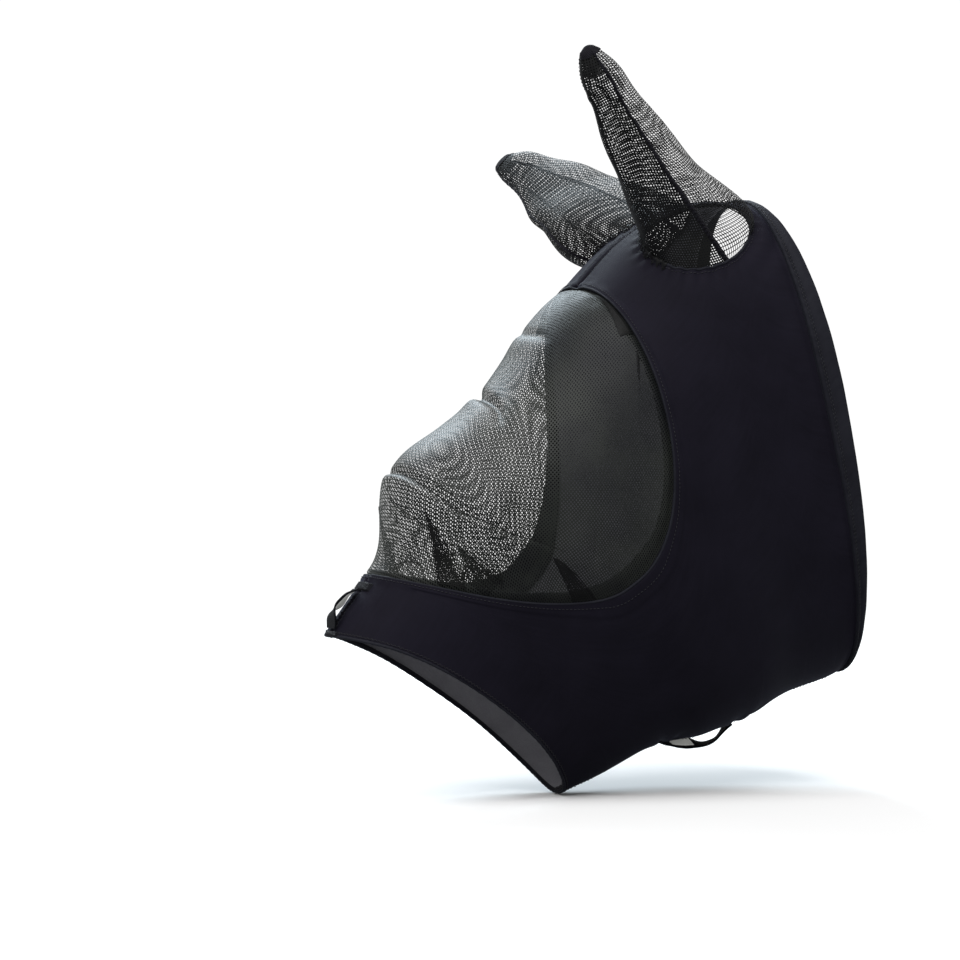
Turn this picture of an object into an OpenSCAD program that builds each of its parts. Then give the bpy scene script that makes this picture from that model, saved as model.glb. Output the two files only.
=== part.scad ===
// Pull-on fly mask for a horse.
// A stretch hood of two side panels leaves one large opening over the eyes and the bridge of the nose, and
// a see-through net screen domes over it. Each ear has a net cover, and two webbing loops pull the mask on.
//
// Frame: +Z up, the nose points to -X, the horse's left side is -Y. The origin is the centre of the neck
// opening. Millimetres.
//
// The hood is a skin through eight stations from the nose opening (0) to the neck opening (7). A place on
// it is (station, angle): 0 degrees is the top line, 180 the jaw line, positive angles are the left side.

/* [Hood] */
// Half width at the nose opening
nose_half_width = 54; // [50:1:58]
// Half width across the eyes
eye_half_width = 106; // [101:1:111]
// Half width at the neck opening
neck_half_width = 98; // [95:1:102]
// Thickness of the stretch fabric
fabric = 1.5; // [1.2:0.1:1.8]

/* [Eye screen] */
// Angle from the top line to the lowest edge of the screen
screen_reach = 89; // [84:1:92]
// How far the net stands off over the nose
nose_dome = 18; // [12:1:22]
// How far the net stands off over the forehead
brow_dome = 11; // [8:1:14]
// Thickness of the net sheet
net = 1; // [0.8:0.1:1.2]

/* [Ears] */
// Half length of an ear cover's root, along the head, in stations
ear_root_length = 0.76; // [0.7:0.01:0.78]
// Half breadth of an ear cover's root, in degrees around the head
ear_root_breadth = 18; // [16:0.5:18]
// Half width of the left cover above its root
left_ear_half_width = 45; // [40:1:48]
// Half width of the right cover above its root
right_ear_half_width = 52; // [46:1:54]
// Half depth of both covers above their roots
ear_half_depth = 28; // [24:1:30]

/* [Pull loops] */
// Width of the loop webbing
loop_width = 22; // [18:1:25]
// Thickness of the loop webbing
loop_thickness = 1.4; // [1:0.1:1.8]
// How far a loop stands off the hood
loop_rise = 11; // [9:0.5:13]

/* [Seams] */
// Width of the edge bindings, as a share of the screen's size
binding_share = 0.035; // [0.03:0.005:0.04]
// Thickness of tapes, bindings and stitch lines
tape = 0.9; // [0.7:0.1:1]

/* [Hidden] */
// One row per station: top X, top Z, bottom X, bottom Z, half width, how far the sides bow to the rear
STATIONS = [
    [-217, 122, -36,  1, nose_half_width,      20],
    [-187, 163,  -4, 14, nose_half_width + 9,  12],
    [-132, 234,  41, 36, eye_half_width - 22,   6],
    [ -77, 304,  74, 41, eye_half_width - 5,    2],
    [ -21, 375, 116, 55, eye_half_width,        0],
    [  23, 417, 148, 70, neck_half_width - 1,   0],
    [  75, 440, 182, 80, neck_half_width - 5,   1],
    [ 119, 442, 197, 88, neck_half_width,       3]
];
NOSE_STATION = 0;
NECK_STATION = 7;
FULLNESS = 2.3;        // exponent of the section's superellipse, 2 is an ellipse
TOP_HEAVY = 0.10;      // how much wider the section is above its middle than below it

SCREEN_MIDDLE = 2.545; // station of the eye screen's middle
SCREEN_HALF = 1.485;   // half the stations that the eye screen spans
NOSE_CORNERS = [2.5, 2.3];
BROW_CORNERS = [3, 3];   // exponents of the screen's outline, along the head and around it
OPENING = 1.01;          // size of the hood's opening over the screen's nominal outline
NET_SIZE = 0.99;         // size of the net over the same outline
STITCH_OUTLINE = [1.045, 1.055];  // sizes of the stitch line's two edges over the same outline
NET_LIFT = 0.2;          // space between the head form and the net's edge
TAB_STATIONS = [1.36, 1.55];
TAB_ANGLES = [46, 60];
TAB_LIFT = 1.2;          // space between the net and a corner tab
STITCH = 0.4;            // thickness of a stitch line
NOSE_DOME_STATION = 1.9;
NOSE_DOME_LENGTH = 0.5;
DOME_BREADTH = 60;

HEM_AT_TOP = 6.86;     // station where the neck hem starts on the top line
HEM_DROP = 0.4;        // how much wider the hem is half way down the side, in stations
EDGE_GAP = 0.03;       // stations left open between the hood panels and the hem
HEM_STITCHES = [0.035, 0.065];  // stations from the hem's start to its stitch line's two edges
HEM_STITCH_LIFT = 0.2;
NOSE_EDGE_WIDTH = 0.1;          // stations
NOSE_STITCHES = [0.12, 0.145];

CLEARANCE = 0.4;       // space between neighbouring pieces
UNDERLAP = 1.3;        // space between the hood and the tapes and bindings inside it
OVERLAP = 0.9;         // space between the hood and the stitch lines on it
EDGE_RELIEF = 2.1;     // extra space beside the screen's edge, where the hood bends most
MIDLINE = 0.35;        // angle left open on each side of the top and jaw lines
TAPE_ANGLE = 2.5;      // half width of the top seam tape, in degrees
JAW_TAPE_ANGLE = 4;
CROWN_SEAM_START = 4.15;       // the top seam runs from here to the hem
NOSE_SEAM = [0.13, 0.97];      // stations that the nose seam runs between

EAR_STATION = 5.6;
EAR_ANGLE = 23;
EAR_HOLE = [0.10, 2.2];    // how much larger the hole is than the root, in stations and degrees
HOLE_DEPTH = 9;            // how far the hole's cutter reaches to each side of the hood
EAR_BAND_GAP = [0.005, 0.15];  // space between the hole's edge and its binding
EAR_BAND = [0.08, 2.0];    // width of the binding around the hole, in stations and degrees
EAR_ROOT_SCALE = [57, 2];  // millimetres per station and per degree at the root
EAR_ROOT_BLEND = 0.3;      // share of the cover's height that turns from the root into the free shape
EAR_TIP = [8, 4];          // half width and half depth at the tip
EAR_TAPER = 0.9;
EAR_WALL_TOP = 0.94;       // the panels end here, and the tip patch starts
EAR_OUTER_SEAMS = [97, 153];   // left, right: angle around the cover, 0 is its front, 90 its outer face
EAR_INNER_SEAMS = [335, 365];
EAR_SEAM_GAP = 1.2;        // millimetres left open between a panel's edge and the seam's middle
EAR_TAPE_HALF = 3.5;       // half width of the ear seam tape
TIP_PATCH_LIFT = 0.6;      // the tip patch is this much proud of the cover

LOOP_EDGE = 0.8;           // half width of a loop where it meets the hood
WEDGE_SPARE = 5;           // the wedge that trims a loop's ends reaches this far past the loop
LOOP_SWING_SLOPE = 1;      // the loop's ends widen by this much per millimetre of height
STRIP_SHARE = 0.6;         // width of the silver strip over the width of the webbing
STRIP_LENGTH = 0.56;       // length of the strip over the length of the loop
STRIP_THICKNESS = 0.4;
STRIP_GAP = 0.15;          // space between the strip and the webbing's inner face
NOSE_LOOP = [0.17, 0.84];  // stations that the nose loop runs between
NOSE_LOOP_LIFT = 1;        // space between the hood and the loop's sewn ends
JAW_LOOP_LIFT = 2.5;
NOSE_TACKS = [[0.015, 0.11], [0.86, 0.95]];
JAW_LOOP = [2.2, 3.75];
JAW_TACKS = [[2.03, 2.15], [3.80, 3.92]];
TACK_ANGLE = 3;            // half breadth of a loop's stitched patch, in degrees around the head
TACK_THICKNESS = 0.8;

RADIAN = 180 / PI;
MID = STATIONS[NECK_STATION];
ORIGIN = [(MID[0] + MID[2]) / 2, 0, (MID[1] + MID[3]) / 2];

// ---- numbers ----

function mix(a, b, t) = a + (b - a) * t;
function unit(v) = v / norm(v);
function clamp01(t) = min(max(t, 0), 1);
function smooth(t) = let (c = clamp01(t)) c * c * (3 - 2 * c);
function signed_pow(x, p) = sign(x) * pow(abs(x), p);
function steps(from, to, count) = [for (i = [0:count]) mix(from, to, i / count)];

// Catmull-Rom curve through the rows of p
function through(p, t) =
    let (
        last = len(p) - 1,
        i = max(0, min(floor(t), last - 1)),
        u = t - i,
        a = p[max(i - 1, 0)],
        b = p[i],
        c = p[i + 1],
        d = p[min(i + 2, last)]
    )
    0.5 * (2 * b + (c - a) * u + (2 * a - 5 * b + 4 * c - d) * u * u + (3 * b - a - 3 * c + d) * u * u * u);

// ---- the head form ----

// Point of the hood at a station and an angle, standing off by the given distance
function hood_point(s, angle, off) =
    let (
        q = through(STATIONS, s),
        half = [q[0] - q[2], q[1] - q[3]] / 2,
        half_length = norm(half),
        up = half / half_length,
        rear = [up[1], -up[0]],
        x = signed_pow(cos(angle), 2 / FULLNESS),
        y = signed_pow(sin(angle), 2 / FULLNESS),
        middle = [q[0] + q[2], q[1] + q[3]] / 2,
        p = middle + up * (half_length + off) * x + rear * q[5] * y * y,
        across = (q[4] + off) * (1 + TOP_HEAVY * x) * y
    )
    [p[0], -across, p[1]] - ORIGIN;

// Half angle of the eye opening at u, which runs from -1 at the nose to 1 at the brow
function screen_corners(u) = u < 0 ? NOSE_CORNERS : BROW_CORNERS;
function screen_angle(u, reach) =
    let (k = screen_corners(u))
    reach * pow(max(1 - pow(abs(u), k[0]), 0), 1 / k[1]);

// How far the net stands off the head
function dome(s, angle) =
    let (
        u = (s - SCREEN_MIDDLE) / SCREEN_HALF,
        k = screen_corners(u),
        edge = pow(abs(u), k[0]) + pow(abs(angle) / screen_reach, k[1]),
        inside = clamp01(1 - edge),
        lift = brow_dome + nose_dome * exp(-pow((s - NOSE_DOME_STATION) / NOSE_DOME_LENGTH, 2))
    )
    (1 - pow(1 - inside, 3)) * lift * exp(-pow(angle / DOME_BREADTH, 2));

function hem_start(angle) = HEM_AT_TOP - HEM_DROP * abs(sin(angle));

// ---- solids from grids of points ----

// Closed solid between an outer and an inner grid. wrap joins the last row to the first.
module skin(outer, inner, wrap = false, flip = false) {
    rows = len(outer);
    cols = len(outer[0]);
    row_cells = wrap ? rows : rows - 1;
    points = concat([for (r = outer) each r], [for (r = inner) each r]);
    base = rows * cols;
    function at(i, j) = (i % rows) * cols + j;
    faces = concat(
        [for (i = [0:row_cells - 1], j = [0:cols - 2])
            each [[at(i, j), at(i + 1, j), at(i + 1, j + 1)], [at(i, j), at(i + 1, j + 1), at(i, j + 1)]]],
        [for (i = [0:row_cells - 1], j = [0:cols - 2])
            each [[base + at(i, j), base + at(i + 1, j + 1), base + at(i + 1, j)],
                  [base + at(i, j), base + at(i, j + 1), base + at(i + 1, j + 1)]]],
        [for (i = [0:row_cells - 1])
            each [[at(i, 0), base + at(i, 0), base + at(i + 1, 0)],
                  [at(i, 0), base + at(i + 1, 0), at(i + 1, 0)]]],
        [for (i = [0:row_cells - 1])
            each [[at(i, cols - 1), base + at(i + 1, cols - 1), base + at(i, cols - 1)],
                  [at(i, cols - 1), at(i + 1, cols - 1), base + at(i + 1, cols - 1)]]],
        wrap ? [] : [for (j = [0:cols - 2])
            each [[at(0, j), at(0, j + 1), base + at(0, j + 1)],
                  [at(0, j), base + at(0, j + 1), base + at(0, j)]]],
        wrap ? [] : [for (j = [0:cols - 2])
            each [[at(rows - 1, j), base + at(rows - 1, j + 1), at(rows - 1, j + 1)],
                  [at(rows - 1, j), base + at(rows - 1, j), base + at(rows - 1, j + 1)]]]
    );
    polyhedron(points, flip ? [for (f = faces) [f[2], f[1], f[0]]] : faces);
}

// Closed solid between two rings, each capped by a fan from its middle
module plug(lower, upper, flip = false) {
    count = len(lower);
    points = concat(lower, upper, [mean(lower), mean(upper)]);
    faces = [for (i = [0:count - 1])
        let (k = (i + 1) % count)
        each [[i, count + k, k], [i, count + i, count + k],
              [i, k, 2 * count], [count + i, 2 * count + 1, count + k]]];
    polyhedron(points, flip ? [for (f = faces) [f[2], f[1], f[0]]] : faces);
}

function mean(points) = [for (i = [0:2]) sum([for (p = points) p[i]]) / len(points)];
function sum(values, i = 0) = i == len(values) ? 0 : values[i] + sum(values, i + 1);

// ---- hood ----

// Stations of the hood panel's rows, close together where the screen's edge turns
function panel_stations() = concat(
    [for (s = steps(NOSE_STATION, SCREEN_MIDDLE - SCREEN_HALF * (OPENING + 0.01), 4)) s],
    [for (f = steps(7, 173, 26)) SCREEN_MIDDLE - SCREEN_HALF * OPENING * cos(f)],
    [for (s = steps(SCREEN_MIDDLE + SCREEN_HALF * (OPENING + 0.01), NECK_STATION, 9)) s]
);

// Rear rows follow the slanted start of the hem
function panel_row_station(s, angle) =
    let (start = SCREEN_MIDDLE + SCREEN_HALF, share = (s - start) / (NECK_STATION - start))
    s < start ? s : mix(start, hem_start(angle) - EDGE_GAP, share);

function panel_grid(off) = [
    for (s = panel_stations())
        let (
            u = (s - SCREEN_MIDDLE) / (SCREEN_HALF * OPENING),
            low = max(screen_angle(u, screen_reach * OPENING), MIDLINE)
        )
        [for (angle = steps(low, 180 - MIDLINE, 18)) hood_point(panel_row_station(s, angle), angle, off)]
];

// Ring of points around an ear's place on the hood, grown by [stations, degrees]
function ear_ring(grow, off, count = 36) = [
    for (t = [0:count - 1])
        let (a = 360 * t / count)
        hood_point(EAR_STATION - (ear_root_length + grow[0]) * cos(a),
                   EAR_ANGLE + (ear_root_breadth + grow[1]) * sin(a), off)
];

module hood_panel() {
    resize([0, 0, 0]) difference() {
        skin(panel_grid(fabric), panel_grid(0));
        plug(ear_ring(EAR_HOLE, -HOLE_DEPTH), ear_ring(EAR_HOLE, HOLE_DEPTH));
    }
}

module left_hood_panel() {
    color([0.10, 0.10, 0.13]) hood_panel();
}

module right_hood_panel() {
    color([0.10, 0.10, 0.13]) mirror([0, 1, 0]) hood_panel();
}

// Strip along a line of constant angle
function seam_grid(from, to, centre, half, off) = [
    for (s = steps(from, to, 16))
        [for (angle = steps(centre - half, centre + half, 4)) hood_point(s, angle, off)]
];

module seam_tape(from, to, centre, half) {
    color([0.07, 0.07, 0.08])
        skin(seam_grid(from, to, centre, half, -UNDERLAP),
             seam_grid(from, to, centre, half, -UNDERLAP - tape));
}

module crown_seam_tape() {
    seam_tape(CROWN_SEAM_START, HEM_AT_TOP, 0, TAPE_ANGLE);
}

module nose_seam_tape() {
    seam_tape(NOSE_SEAM[0], NOSE_SEAM[1], 0, TAPE_ANGLE);
}

module jaw_seam_tape() {
    seam_tape(NOSE_SEAM[0], HEM_AT_TOP, 180, JAW_TAPE_ANGLE);
}

// Closed band around the whole head between two stations that may depend on the angle
function band_grid(from, to, off) = [
    for (angle = [0:7.5:352.5]) [for (t = [0, 0.5, 1]) hood_point(mix(from(angle), to(angle), t), angle, off)]
];

module band(from, to, low, high) {
    skin(band_grid(from, to, high), band_grid(from, to, low), wrap = true, flip = true);
}

module nose_edge_binding() {
    color([0.06, 0.06, 0.07])
        band(function (a) NOSE_STATION, function (a) NOSE_EDGE_WIDTH, -UNDERLAP - tape, -UNDERLAP);
}

module nose_edge_stitching() {
    color([0.16, 0.16, 0.18])
        band(function (a) NOSE_STITCHES[0], function (a) NOSE_STITCHES[1],
             fabric + OVERLAP, fabric + OVERLAP + STITCH);
}

module neck_hem_band() {
    color([0.11, 0.12, 0.14])
        band(function (a) hem_start(a), function (a) NECK_STATION, 0, fabric + tape);
}

module neck_hem_stitching() {
    color([0.18, 0.18, 0.20])
        band(function (a) hem_start(a) + HEM_STITCHES[0], function (a) hem_start(a) + HEM_STITCHES[1],
             fabric + tape + HEM_STITCH_LIFT, fabric + tape + HEM_STITCH_LIFT + STITCH);
}

// ---- eye screen ----

function screen_grid(lift) = [
    for (f = steps(6, 174, 24))
        let (
            u = -cos(f),
            s = SCREEN_MIDDLE + SCREEN_HALF * NET_SIZE * u,
            reach = screen_angle(u, screen_reach * NET_SIZE)
        )
        [for (v = steps(-1, 1, 22)) hood_point(s, v * reach, lift + dome(s, v * reach))]
];

module eye_screen() {
    color([0.20, 0.21, 0.20, 0.5])
        skin(screen_grid(NET_LIFT + net), screen_grid(NET_LIFT));
}

// Closed strip that follows the screen's edge, between two scales of its outline
function edge_ring(low, high, off) = [
    for (f = [0:5:355])
        let (
            k = screen_corners(-cos(f)),
            u = -signed_pow(cos(f), 2 / k[0]),
            v = signed_pow(sin(f), 2 / k[1])
        )
        [for (g = [low, (low + high) / 2, high])
            hood_point(SCREEN_MIDDLE + SCREEN_HALF * g * u, screen_reach * g * v, off)]
];

module edge_strip(low, high, bottom, top) {
    skin(edge_ring(low, high, top), edge_ring(low, high, bottom), wrap = true);
}

module eye_screen_binding() {
    color([0.05, 0.05, 0.06])
        edge_strip(1 - binding_share, 1 + binding_share,
                   -EDGE_RELIEF - UNDERLAP - tape, -EDGE_RELIEF - UNDERLAP);
}

module eye_screen_stitching() {
    color([0.16, 0.16, 0.18])
        edge_strip(STITCH_OUTLINE[0], STITCH_OUTLINE[1],
                   fabric + OVERLAP + EDGE_RELIEF, fabric + OVERLAP + EDGE_RELIEF + STITCH);
}

// Doubled net tabs at the lower front corners of the screen
function tab_grid(lift) = [
    for (s = steps(TAB_STATIONS[0], TAB_STATIONS[1], 5))
        [for (angle = steps(TAB_ANGLES[0], TAB_ANGLES[1], 5)) hood_point(s, angle, lift + dome(s, angle))]
];

module corner_tab() {
    skin(tab_grid(net + TAB_LIFT + tape), tab_grid(net + TAB_LIFT));
}

module screen_corner_tabs() {
    color([0.08, 0.08, 0.09]) {
        corner_tab();
        mirror([0, 1, 0]) corner_tab();
    }
}

// ---- ears ----

// side -1 is the left ear, pricked forward; side 1 is the right ear, turned out
function ear_tip(side) = (side < 0 ? [-45, -72, 553] : [4, 186, 476]) - ORIGIN;
function ear_bend(side) = (side < 0 ? [4, -66, 478] : [20, 98, 452]) - ORIGIN;
function ear_width_axis(side, h) =
    unit(mix(unit([1, 0, 0.12]), unit(side < 0 ? [0.82, 0.05, 0.45] : [0.72, -0.20, 0.62]), h));
function ear_depth_axis(side, h) =
    unit(mix(unit([0, 0.8 * side, -0.55]), unit(side < 0 ? [-0.1, -1, -0.25] : [-0.3, 0.25, -0.9]), h));
function ear_half_width(side, h) =
    mix(EAR_TIP[0], side < 0 ? left_ear_half_width : right_ear_half_width, pow(1 - h, EAR_TAPER));
function ear_depth(h) = mix(EAR_TIP[1], ear_half_depth, pow(1 - h, EAR_TAPER));
function on_side(side, p) = [p[0], -side * p[1], p[2]];

// Point of an ear cover at height h (0 root, 1 tip) and angle t around it
function ear_point(side, h, t, off) =
    let (
        s = EAR_STATION - (ear_root_length + off / EAR_ROOT_SCALE[0]) * cos(t),
        angle = EAR_ANGLE + (ear_root_breadth + off / EAR_ROOT_SCALE[1]) * sin(t),
        root = on_side(side, hood_point(s, angle, fabric)),
        start = on_side(side, hood_point(EAR_STATION, EAR_ANGLE, 0)),
        centre = pow(1 - h, 2) * start + 2 * h * (1 - h) * ear_bend(side) + h * h * ear_tip(side),
        across = ear_width_axis(side, h) * (ear_half_width(side, h) + off) * -cos(t),
        out = ear_depth_axis(side, h) * (ear_depth(h) + off) * sin(t)
    )
    mix(root, centre + across + out, smooth(h / EAR_ROOT_BLEND));

function outer_seam(side) = EAR_OUTER_SEAMS[side < 0 ? 0 : 1];
function inner_seam(side) = EAR_INNER_SEAMS[side < 0 ? 0 : 1];

function ear_heights(from, to) = steps(from, to, 12);

// Angle that a width in millimetres takes up on the cover's outer or inner face
function ear_span(side, h, width) = min(RADIAN * width / ear_half_width(side, h), 30);

function ear_panel_grid(side, from, to, off) = [
    for (h = ear_heights(0, EAR_WALL_TOP))
        let (gap = ear_span(side, h, EAR_SEAM_GAP))
        [for (t = steps(from + gap, to - gap, 14)) ear_point(side, h, t, off)]
];

module ear_panel(side, from, to) {
    skin(ear_panel_grid(side, from, to, 0), ear_panel_grid(side, from, to, -net), flip = side > 0);
}

module ear_front_panel(side) {
    color([0.16, 0.17, 0.17, 0.6]) ear_panel(side, inner_seam(side) - 360, outer_seam(side));
}

module ear_back_panel(side) {
    color([0.26, 0.27, 0.28, 0.5]) ear_panel(side, outer_seam(side), inner_seam(side));
}

function ear_tape_grid(side, seam, off) = [
    for (h = ear_heights(0.05, EAR_WALL_TOP - 0.01))
        let (half = ear_span(side, h, EAR_TAPE_HALF))
        [for (t = steps(seam - half, seam + half, 3)) ear_point(side, h, t, off)]
];

module ear_seam_tape(side) {
    color([0.05, 0.05, 0.06])
        for (seam = [outer_seam(side), inner_seam(side)])
            skin(ear_tape_grid(side, seam, CLEARANCE + tape), ear_tape_grid(side, seam, CLEARANCE),
                 flip = side > 0);
}

module ear_tip_patch(side) {
    ring = function (h) [for (t = [0:20:340]) ear_point(side, h, t, TIP_PATCH_LIFT)];
    color([0.04, 0.04, 0.05]) plug(ring(EAR_WALL_TOP + 0.01), ring(1), flip = side > 0);
}

// Binding sewn around the hole in the hood that the ear passes through
module ear_base_binding() {
    low = EAR_HOLE + EAR_BAND_GAP;
    grid = function (off) [
        for (i = [0:35]) [for (t = [0, 0.5, 1]) ear_ring(low + EAR_BAND * t, off)[i]]
    ];
    color([0.05, 0.05, 0.06]) skin(grid(fabric + CLEARANCE + tape), grid(fabric + CLEARANCE), wrap = true);
}

module left_ear_front_panel() {
    ear_front_panel(-1);
}

module left_ear_back_panel() {
    ear_back_panel(-1);
}

module left_ear_seam_tape() {
    ear_seam_tape(-1);
}

module left_ear_tip_patch() {
    ear_tip_patch(-1);
}

module left_ear_base_binding() {
    ear_base_binding();
}

module right_ear_front_panel() {
    ear_front_panel(1);
}

module right_ear_back_panel() {
    ear_back_panel(1);
}

module right_ear_seam_tape() {
    ear_seam_tape(1);
}

module right_ear_tip_patch() {
    ear_tip_patch(1);
}

module right_ear_base_binding() {
    mirror([0, 1, 0]) ear_base_binding();
}

// ---- pull loops ----

// Local frame of a loop: X runs from one sewn end to the other, Z stands off the hood
module loop_frame(from, to) {
    way = to - from;
    translate(from) rotate([0, -atan2(way[2], way[0]), 0]) children();
}

function loop_height(x, length) = loop_rise * pow(max(sin(180 * x / length), 0), 0.7);

// Webbing bent into a loop, as a ribbon between two heights above the loop's middle surface
module ribbon(length, from, to, low, high, width) {
    xs = steps(from, to, 20);
    rotate([90, 0, 0]) linear_extrude(width, center = true)
        polygon(concat([for (x = xs) [x, loop_height(x, length) + high]],
                       [for (i = [20:-1:0]) [xs[i], loop_height(xs[i], length) + low]]));
}

// The ends of a loop narrow towards the hood, so that it can swing
module swing_wedge(length) {
    reach = loop_rise + WEDGE_SPARE;
    rotate([90, 0, 90]) linear_extrude(length)
        polygon([[-LOOP_EDGE, 0], [LOOP_EDGE, 0], [LOOP_EDGE + reach * LOOP_SWING_SLOPE, reach],
                 [-LOOP_EDGE - reach * LOOP_SWING_SLOPE, reach]]);
}

module webbing_loop(from, to) {
    length = norm(to - from);
    loop_frame(from, to) intersection() {
        ribbon(length, 0, length, 0, loop_thickness, loop_width);
        swing_wedge(length);
    }
}

module silver_strip(from, to) {
    length = norm(to - from);
    edge = length * (1 - STRIP_LENGTH) / 2;
    loop_frame(from, to) intersection() {
        ribbon(length, edge, length - edge, -STRIP_GAP - STRIP_THICKNESS, -STRIP_GAP,
               loop_width * STRIP_SHARE);
        swing_wedge(length);
    }
}

// Patch of stitching that holds one end of a loop down
module stitched_end(stations, centre, off) {
    grid = function (o) [
        for (s = steps(stations[0], stations[1], 3))
            [for (angle = steps(centre - TACK_ANGLE, centre + TACK_ANGLE, 6)) hood_point(s, angle, o)]
    ];
    skin(grid(off + TACK_THICKNESS), grid(off));
}

NOSE_ENDS = [for (s = NOSE_LOOP) hood_point(s, 0, fabric + NOSE_LOOP_LIFT)];
JAW_ENDS = [for (s = [JAW_LOOP[1], JAW_LOOP[0]]) hood_point(s, 180, fabric + JAW_LOOP_LIFT)];

module nose_pull_loop() {
    color([0.09, 0.09, 0.10]) webbing_loop(NOSE_ENDS[0], NOSE_ENDS[1]);
}

module nose_loop_silver_strip() {
    color([0.75, 0.76, 0.74]) silver_strip(NOSE_ENDS[0], NOSE_ENDS[1]);
}

module nose_loop_stitched_ends() {
    color([0.05, 0.05, 0.06])
        for (tack = NOSE_TACKS) stitched_end(tack, 0, fabric + CLEARANCE);
}

module jaw_pull_loop() {
    color([0.09, 0.09, 0.10]) webbing_loop(JAW_ENDS[0], JAW_ENDS[1]);
}

module jaw_loop_silver_strip() {
    color([0.75, 0.76, 0.74]) silver_strip(JAW_ENDS[0], JAW_ENDS[1]);
}

module jaw_loop_stitched_ends() {
    color([0.05, 0.05, 0.06])
        for (tack = JAW_TACKS) stitched_end(tack, 180, fabric + CLEARANCE);
}

// ---- assembly ----

left_hood_panel();
right_hood_panel();
crown_seam_tape();
nose_seam_tape();
jaw_seam_tape();
eye_screen();
eye_screen_binding();
eye_screen_stitching();
screen_corner_tabs();
nose_edge_binding();
nose_edge_stitching();
neck_hem_band();
neck_hem_stitching();
left_ear_front_panel();
left_ear_back_panel();
left_ear_seam_tape();
left_ear_tip_patch();
left_ear_base_binding();
right_ear_front_panel();
right_ear_back_panel();
right_ear_seam_tape();
right_ear_tip_patch();
right_ear_base_binding();
nose_pull_loop();
nose_loop_silver_strip();
nose_loop_stitched_ends();
jaw_pull_loop();
jaw_loop_silver_strip();
jaw_loop_stitched_ends();
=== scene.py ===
"""Pull-on fly mask for a horse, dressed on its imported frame.

Metres, same frame as the CAD: +Z up, the nose points to -X, the horse's left side is -Y, and the origin is
the centre of the neck opening. A place on the head form is (station, angle): station 0 is the nose opening
and 7 the neck opening, angle 0 is the top line and 180 the jaw line, and positive angles are the left side.
Lengths in the tables and in offsets are millimetres; every point handed to Blender is in metres.
"""

import math

import bpy
import numpy as np
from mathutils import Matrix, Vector


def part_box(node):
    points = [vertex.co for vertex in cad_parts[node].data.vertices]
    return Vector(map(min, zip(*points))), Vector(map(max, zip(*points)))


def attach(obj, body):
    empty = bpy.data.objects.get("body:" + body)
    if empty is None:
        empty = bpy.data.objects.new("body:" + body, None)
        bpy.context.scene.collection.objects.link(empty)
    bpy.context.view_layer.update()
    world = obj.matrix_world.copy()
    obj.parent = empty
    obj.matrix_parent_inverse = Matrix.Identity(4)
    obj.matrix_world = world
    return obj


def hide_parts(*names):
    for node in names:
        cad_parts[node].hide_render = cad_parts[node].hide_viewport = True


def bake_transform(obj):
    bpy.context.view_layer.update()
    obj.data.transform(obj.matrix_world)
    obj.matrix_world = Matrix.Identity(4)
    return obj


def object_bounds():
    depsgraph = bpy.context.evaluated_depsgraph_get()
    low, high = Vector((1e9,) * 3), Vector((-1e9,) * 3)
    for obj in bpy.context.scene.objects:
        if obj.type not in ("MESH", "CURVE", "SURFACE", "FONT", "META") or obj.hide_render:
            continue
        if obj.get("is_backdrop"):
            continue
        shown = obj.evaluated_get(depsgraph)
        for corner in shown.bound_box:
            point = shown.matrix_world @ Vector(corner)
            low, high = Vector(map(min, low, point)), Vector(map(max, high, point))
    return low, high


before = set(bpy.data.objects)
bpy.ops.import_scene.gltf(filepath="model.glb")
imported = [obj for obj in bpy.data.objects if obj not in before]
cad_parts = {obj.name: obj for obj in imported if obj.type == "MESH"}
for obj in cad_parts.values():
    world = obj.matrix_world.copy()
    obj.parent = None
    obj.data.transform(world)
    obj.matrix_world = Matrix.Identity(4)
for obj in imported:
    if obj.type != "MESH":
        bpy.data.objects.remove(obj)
CAD_LOW, CAD_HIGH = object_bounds()

MM = 0.001

# ---- the head form ----

# One row per station: x and z of the top line, x and z of the jaw line, half width, and how far the
# sides bow back, mm
STATIONS = np.array(
    [
        [-217, 122, -36, 1, 54, 20],
        [-187, 163, -4, 14, 63, 12],
        [-132, 234, 41, 36, 84, 6],
        [-77, 304, 74, 41, 101, 2],
        [-21, 375, 116, 55, 106, 0],
        [23, 417, 148, 70, 97, 0],
        [75, 440, 182, 80, 93, 1],
        [119, 442, 197, 88, 98, 3],
    ],
    float,
)
FULLNESS = 2.3  # power of the oval cross-sections
TOP_HEAVY = 0.10  # share by which a section is wider at the top line
FABRIC = 1.5  # height of the hood's outer face over the head form, mm

# The eye opening's outline is an oval in station and angle, squarer at its nose end and its brow end
SCREEN_MIDDLE = 2.545
SCREEN_HALF = 1.485
SCREEN_REACH = 89
NOSE_CORNERS = (2.5, 2.3)
BROW_CORNERS = (3.0, 3.0)

# An ear's root ring: its middle, its half sizes, and the two seams' places round it by side
EAR_STATION = 5.6
EAR_ANGLE = 23
EAR_ROOT = (0.76, 18)
EAR_HOLE = (0.012, 0.35)  # the hood's hole is this much larger than the root ring
EAR_SEAMS = {-1: (97, 335), 1: (153, 365)}

HEM_AT_TOP = 6.86
HEM_DROP = 0.4


def clamp01(t):
    return np.clip(t, 0, 1)


def smooth(t):
    c = clamp01(t)
    return c * c * (3 - 2 * c)


def signed_pow(x, p):
    return np.sign(x) * np.abs(x) ** p


def bump(x, width):
    """1 at x = 0, falling to 0 over about the width."""
    return np.exp(-((x / width) ** 2))


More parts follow.
